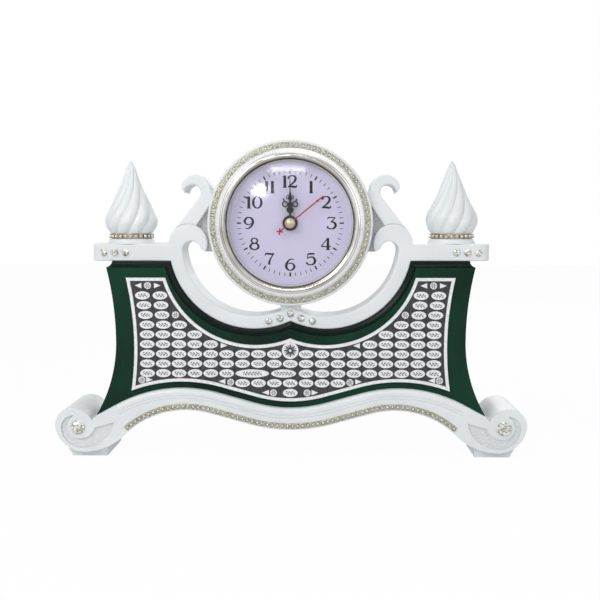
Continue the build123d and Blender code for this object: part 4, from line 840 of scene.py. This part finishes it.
section = bpy.data.curves.new("lens_section", "CURVE")
section.dimensions = "3D"
outer_arc = []
for number in range(ARC_STEPS + 1):
    reach = LENS_REACH * number / ARC_STEPS
    outer_arc.append((reach, LENS_APEX + LENS_RADIUS - math.sqrt(LENS_RADIUS**2 - reach**2)))
inner_arc = [(reach, depth + LENS_THICKNESS) for reach, depth in reversed(outer_arc)]
section_line = section.splines.new("POLY")
section_line.points.add(len(outer_arc + inner_arc) - 1)
for point, (reach, depth) in zip(section_line.points, outer_arc + inner_arc):
    point.co = (reach * MM, depth * MM, dial_height, 1)
lens_dome = as_mesh(bpy.data.objects.new("lens_dome", section))
bpy.ops.object.mode_set(mode="EDIT")
bpy.ops.mesh.select_all(action="SELECT")
bpy.ops.mesh.spin(steps=SPIN_STEPS, angle=2 * math.pi, center=(0, 0, dial_height), axis=(0, 1, 0))
bpy.ops.mesh.select_all(action="SELECT")
bpy.ops.mesh.remove_doubles(threshold=MERGE_DISTANCE)
close_model(lens_dome)
bpy.ops.object.shade_smooth_by_angle(angle=math.radians(30))
fitted(lens_dome, glass, "insert", "lens_glass", "lens")

# %% [markdown]
# ## Plaque ornament
# The ovals carry small dark sprigs, the round studs a rosette, and the medallion a larger
# one. All of them are built from one leaf: a long, eight-sided disc that narrows to a
# raised top. A sprig is a bent stem with leaves on both sides, and every second oval has it
# turned round, so the rows don't look stamped.

# %% Leaf and ornament paint
inlay = Finish("plaque_inlay", (0.03, 0.03, 0.034), 0.5)
inlay.feed("Specular IOR Level", 0.2)
worn = inlay.noise(800.0, 3.0)
inlay.mottled(worn, 0.35, 0.7, (0.014, 0.014, 0.017), (0.1, 0.1, 0.11))

LEAF_WIDTH, LEAF_RISE = 0.36, 0.14
STEM_LENGTH, STEM_WIDTH, LEAF_LENGTH = 2.6, 0.3, 1.5
leaf = new_disc(8)
bpy.ops.transform.resize(value=(1, LEAF_WIDTH, 1))
add_tier(1, 0.6, 0.3)
leaf = close_model(leaf)


def leaf_at(x, y, degrees, length, width=1.0):
    """One leaf of an ornament, in millimetres."""
    turn = Matrix.Rotation(math.radians(degrees), 4, "Z")
    return Matrix.Translation((x, y, 0)) @ turn @ sized(length / 2, length / 2 * width, LEAF_RISE)


stem = [
    leaf_at(x, y, degrees, STEM_LENGTH, STEM_WIDTH)
    for x, y, degrees in ((-1.9, -0.2, 16), (0, 0.1, -10), (1.9, 0.1, 14))
]
upper_leaves = [leaf_at(x, 0.72, 38, LEAF_LENGTH) for x in (-2.3, -0.6, 1.2)]
lower_leaves = [leaf_at(x, -0.68, -34, LEAF_LENGTH) for x in (-1.3, 0.5, 2.4)]
sprig = repeated("sprig_model", leaf, stem + upper_leaves + lower_leaves)
print("sprig", len(sprig.data.polygons), "faces")

# %% Sprigs on the ovals
SPRIG, SPRIG_ROOM, SPRIG_PITCH = 1.16 * MM, 5.2 * MM, 6.6 * MM

places = []
ovals = sorted(separate_solids("plaque_cartouches"), key=lambda oval: (oval[0].z, oval[0].x))
for number, points in enumerate(ovals):
    foot, half_width, height = seat(points)
    count = max(1, round(half_width / SPRIG_ROOM))
    for place in range(count):
        shift = (place - (count - 1) / 2) * SPRIG_PITCH
        spot = foot + FRONT * height + Vector((shift, 0, 0))
        turn = Matrix.Rotation(math.pi * (number % 2), 4, "Z")
        places.append(facing(spot) @ turn @ sized(SPRIG, SPRIG, MM))
fitted(repeated("cartouche_sprigs", sprig, places), inlay, "case", "plaque_field")

# %% Rosettes
PETAL_MIDDLE, PETAL_LENGTH, MEDALLION_PETALS = 0.56, 0.84, 8


def rosette(petals, reach, width):
    """Ring of leaves that point outwards, in millimetres."""
    turns = [Matrix.Rotation(2 * math.pi * number / petals, 4, "Z") for number in range(petals)]
    petal = leaf_at(reach * PETAL_MIDDLE, 0, 0, reach * PETAL_LENGTH, width)
    return [turn @ petal for turn in turns]


def crown(points):
    """Matrix that lays an ornament in millimetres on top of a solid."""
    foot, _, height = seat(points)
    return facing(foot + FRONT * height) @ sized(MM, MM, MM)


[medallion] = separate_solids("plaque_medallion")
half_step = Matrix.Rotation(math.pi / MEDALLION_PETALS, 4, "Z")
slim_petals = [half_step @ petal for petal in rosette(MEDALLION_PETALS, 5.0, 0.35)]
petals = rosette(MEDALLION_PETALS, 4.9, 0.8) + slim_petals
places = [crown(medallion) @ petal for petal in petals]
fitted(repeated("medallion_rosette", leaf, places), inlay, "case", "plaque_field")

places = []
for points in separate_solids("plaque_studs"):
    places += [crown(points) @ petal for petal in rosette(6, 2.1, 0.8)]
fitted(repeated("stud_rosettes", leaf, places), inlay, "case", "plaque_field")

# %% [markdown]
# ## Numerals
# The dial has upright numerals with thick and thin strokes. Each digit is drawn as a few
# pen strokes: points with a half width, joined by a smooth curve whose bevel follows those
# widths. The curve becomes a mesh and is pressed flat, as thick as a layer of ink.

# %% Digits as pen strokes
def turned_over(strokes):
    return [[(-x, -z, half) for x, z, half in stroke] for stroke in strokes]


digits = {
    "0": [
        [(0, 3.8, 0.22), (-1.9, 2.6, 0.46), (-2.6, 0, 0.66), (-1.9, -2.6, 0.46),
         (0, -3.8, 0.22), (1.9, -2.6, 0.46), (2.6, 0, 0.66), (1.9, 2.6, 0.46),
         (0, 3.8, 0.22)],
    ],
    "1": [
        [(0.1, 3.9, 0.6), (0.1, -3.9, 0.6)],
        [(-1.2, -3.85, 0.16), (1.4, -3.85, 0.16)],
        [(-1.2, 3.3, 0.12), (0.3, 3.85, 0.22)],
    ],
    "2": [
        [(-2.2, 1.7, 0.2), (-2.35, 2.2, 0.62), (-1.7, 3.3, 0.3), (0, 3.8, 0.24),
         (2.0, 2.9, 0.5), (2.1, 1.4, 0.6), (0.6, -0.9, 0.42), (-1.6, -2.7, 0.26),
         (-2.7, -3.7, 0.22)],
        [(-2.6, -3.6, 0.2), (-1.2, -3.3, 0.5), (0.8, -3.45, 0.55), (2.5, -3.5, 0.4),
         (2.9, -2.2, 0.12)],
    ],
    "3": [
        [(-2.5, 2.4, 0.12), (-2.2, 3.6, 0.28), (0, 3.65, 0.26), (2.4, 3.7, 0.18)],
        [(2.3, 3.7, 0.2), (1.0, 2.2, 0.26), (-0.5, 0.8, 0.22)],
        [(-0.5, 0.8, 0.2), (1.4, 0.5, 0.42), (2.5, -1.2, 0.66), (1.8, -3.0, 0.48),
         (0, -3.8, 0.24), (-2.0, -3.3, 0.3), (-2.6, -2.5, 0.55), (-2.5, -2.0, 0.15)],
    ],
    "4": [
        [(1.2, 3.9, 0.5), (1.2, -3.9, 0.6)],
        [(1.1, 3.8, 0.2), (-3.1, -1.6, 0.22)],
        [(-3.2, -1.7, 0.26), (3.2, -1.7, 0.26)],
        [(-0.2, -3.85, 0.16), (2.6, -3.85, 0.16)],
    ],
    "5": [
        [(-1.8, 3.4, 0.44), (2.3, 3.5, 0.4)],
        [(-1.9, 3.6, 0.2), (-2.2, 0.3, 0.2)],
        [(-2.3, 0.3, 0.18), (-0.6, 1.3, 0.26), (1.5, 1.0, 0.42), (2.6, -1.1, 0.66),
         (1.9, -3.0, 0.46), (0, -3.8, 0.24), (-2.0, -3.3, 0.3), (-2.6, -2.5, 0.55),
         (-2.5, -2.0, 0.15)],
    ],
    "6": [
        [(2.4, 3.3, 0.16), (0.6, 3.6, 0.24), (-1.7, 1.8, 0.46), (-2.6, -1.0, 0.66),
         (-1.9, -2.9, 0.46), (0, -3.8, 0.24), (1.9, -3.0, 0.44), (2.6, -1.3, 0.6),
         (1.8, 0.4, 0.38), (0.2, 1.0, 0.22), (-1.9, 0.1, 0.18)],
    ],
    "7": [
        [(-2.8, 2.1, 0.12), (-2.6, 3.4, 0.3), (-1.0, 3.5, 0.46), (1.2, 3.3, 0.44),
         (2.9, 3.7, 0.24)],
        [(2.8, 3.6, 0.2), (1.0, 0.9, 0.3), (-0.1, -1.8, 0.5), (-0.3, -3.8, 0.6)],
    ],
    "8": [
        [(0, 3.8, 0.22), (-1.9, 2.1, 0.42), (0, 0.35, 0.26), (1.9, 2.1, 0.42),
         (0, 3.8, 0.22)],
        [(0, 0.4, 0.26), (-2.6, -1.7, 0.58), (0, -3.8, 0.24), (2.6, -1.7, 0.58),
         (0, 0.4, 0.26)],
    ],
}
digits["9"] = turned_over(digits["6"])
print("digits:", ", ".join(sorted(digits)))

# %% Inking strokes
DIGIT_WIDTH, DIGIT_HEIGHT, PEN_WEIGHT, PEN_EXTRA, FLATTENED = 1.1, 1.06, 1.5, 0.1, 0.03


def inked(name, strokes):
    """Flat mesh of strokes whose points are x, z and half width in millimetres."""
    pen = bpy.data.curves.new(name, "CURVE")
    pen.dimensions = "3D"
    pen.bevel_depth = 1.0
    pen.bevel_resolution = 1
    pen.resolution_u = 5
    pen.use_fill_caps = True
    for stroke in strokes:
        closed = stroke[0] == stroke[-1]
        points = stroke[:-1] if closed else stroke
        line = pen.splines.new("BEZIER")
        line.bezier_points.add(len(points) - 1)
        line.use_cyclic_u = closed
        for knot, (x, z, half) in zip(line.bezier_points, points):
            knot.co = (x, 0, z)
            knot.radius = half
            knot.handle_left_type = knot.handle_right_type = "AUTO"
    drawing = as_mesh(bpy.data.objects.new(name, pen))
    on_face = Matrix.Translation((0, dial_low.y, dial_height))
    drawing.data.transform(on_face @ sized(MM, FLATTENED * MM, MM))
    return drawing


def moved(stroke, x, z):
    """Stroke of a digit at its place on the dial."""
    return [
        (x + px * DIGIT_WIDTH, z + pz * DIGIT_HEIGHT, half * PEN_WEIGHT + PEN_EXTRA)
        for px, pz, half in stroke
    ]


ink = Finish("dial_ink", (0.006, 0.006, 0.016), 0.4)
ink.feed("Specular IOR Level", 0.1)
ink.uneven_gloss(ink.noise(700.0), 0.34, 0.5)
faint_ink = Finish("faint_ink", (0.02, 0.02, 0.045), 0.45)
faint_ink.feed("Specular IOR Level", 0.1)
faint_ink.uneven_gloss(faint_ink.noise(700.0), 0.4, 0.55)
print("inks:", ink.material.name, faint_ink.material.name)

# %% Numerals and hour marks
def on_dial(degrees, radius):
    """Place at an angle from the twelve, in millimetres from the middle."""
    angle = math.radians(degrees)
    return math.sin(angle) * radius, math.cos(angle) * radius


def dial_mark(degrees, inner, outer, half):
    """Stroke that points at the middle of the dial."""
    return [(*on_dial(degrees, radius), half) for radius in (inner, outer)]


NUMERAL_RADIUS = 29.2
HOUR_MARK = (34.8, 37.7, 0.62)
two_figures = {"10": (-4.0, 2.1), "11": (-2.0, 2.0), "12": (-3.9, 1.4)}
strokes = []
for hour in range(1, 13):
    strokes.append(dial_mark(30 * hour, *HOUR_MARK))
    x, z = on_dial(30 * hour, NUMERAL_RADIUS)
    for figure, shift in zip(str(hour), two_figures.get(str(hour), (0,))):
        strokes += [moved(stroke, x + shift, z) for stroke in digits[figure]]
fitted(inked("dial_numerals", strokes), ink, "insert", "black_hand")

# %% Minute marks
MINUTE_MARK = (35.0, 37.5, 0.28)
strokes = [dial_mark(6 * minute, *MINUTE_MARK) for minute in range(60) if minute % 5]
fitted(inked("minute_marks", strokes), faint_ink, "insert", "black_hand")

# %% Models put away
for model in (small_cut, large_cut, bead, rib, leaf, sprig):
    bpy.data.objects.remove(model)
print("models removed")

# %% [markdown]
# ## Floor and light
# A plain pale floor and a white surround. Camera rays, reflections and rays through glass
# find the surround plain white, while the light it throws on the clock is softer. The floor
# is mostly white by itself, keeps a faint shadow, and shows half as white in the chrome.

# %% Floor
FLOOR_SIZE, WHITE_SEEN, WHITE_MIRRORED = 6.0, 0.96, 0.5
bpy.ops.mesh.primitive_plane_add(size=FLOOR_SIZE)
floor = bpy.context.object
floor.name = "floor"
floor_paint = Finish("floor_white", (0.9, 0.9, 0.9), 0.9)
seen_ray = floor_paint.node("ShaderNodeLightPath", output="Is Camera Ray")
mirrored_ray = floor_paint.node("ShaderNodeLightPath", output="Is Glossy Ray")
share = seen_ray * WHITE_SEEN + mirrored_ray * WHITE_MIRRORED
glow = floor_paint.node("ShaderNodeEmission", None, {"Color": (1, 1, 1, 1), "Strength": 1.0})
matt = Wire(floor_paint, floor_paint.shader.outputs[0])
shown = floor_paint.node("ShaderNodeMixShader", None, {0: share, 1: matt, 2: glow})
floor_paint.connect(floor_paint.tree.nodes["Material Output"].inputs["Surface"], shown)
floor.data.materials.append(floor_paint.material)
print("floor", FLOOR_SIZE, "m wide")

# %% Surround and lamps
THROWN_LIGHT, PLAIN_WHITE = 0.38, 1.0
world = bpy.data.worlds.new("surround")
bpy.context.scene.world = world
world.use_nodes = True
sky = world.node_tree
surround = sky.nodes["Background"]
rays = sky.nodes.new("ShaderNodeLightPath")
bright = rays.outputs["Is Camera Ray"]
for ray in ("Is Transmission Ray", "Is Glossy Ray"):
    either = sky.nodes.new("ShaderNodeMath")
    either.operation = "MAXIMUM"
    sky.links.new(bright, either.inputs[0])
    sky.links.new(rays.outputs[ray], either.inputs[1])
    bright = either.outputs[0]
level = sky.nodes.new("ShaderNodeMapRange")
level.inputs["To Min"].default_value = THROWN_LIGHT
level.inputs["To Max"].default_value = PLAIN_WHITE
sky.links.new(bright, level.inputs["Value"])
sky.links.new(level.outputs[0], surround.inputs["Strength"])
surround.inputs["Color"].default_value = (1, 1, 1, 1)


def lamp(name, place, aim, width, height, watts):
    """Soft flat lamp that looks at a point of the clock."""
    place, aim = Vector(place), Vector(aim)
    bpy.ops.object.light_add(type="AREA", location=place, rotation=looking(aim - place))
    made = bpy.context.object
    made.name = name
    made.data.shape = "RECTANGLE"
    made.data.size = width
    made.data.size_y = height
    made.data.energy = watts
    print("lamp", name, watts, "W")
    return made


lamp("key_lamp", (-0.75, -0.9, 0.95), (0, 0, 0.12), 0.7, 0.7, 7.1)
lamp("fill_lamp", (0.9, -0.8, 0.6), (0, 0, 0.12), 0.9, 0.9, 2.0)
lamp("top_lamp", (0.1, 0.1, 1.2), (0, 0, 0.1), 0.8, 0.8, 2.5)
lamp("back_lamp", (0.4, 1.2, 0.6), (0, 0, 0.12), 0.8, 0.8, 2.5)

# %% [markdown]
# Two small lamps in front of the dial add only a little light. They are there for the
# glass: the dome mirrors one as a bright spot beside the eleven and the other as a soft bar
# over the twelve.

# %% Catch lights
spot = lamp("spot_glint", (-0.275, -1.2, 0.42), (-0.02, 0, 0.18), 0.14, 0.1, 1.0)
spot.data.shape = "ELLIPSE"
lamp("bar_glint", (-0.056, -1.13, 0.57), (0, 0, 0.2), 0.27, 0.03, 0.7)

bpy.context.scene.view_settings.view_transform = "Standard"
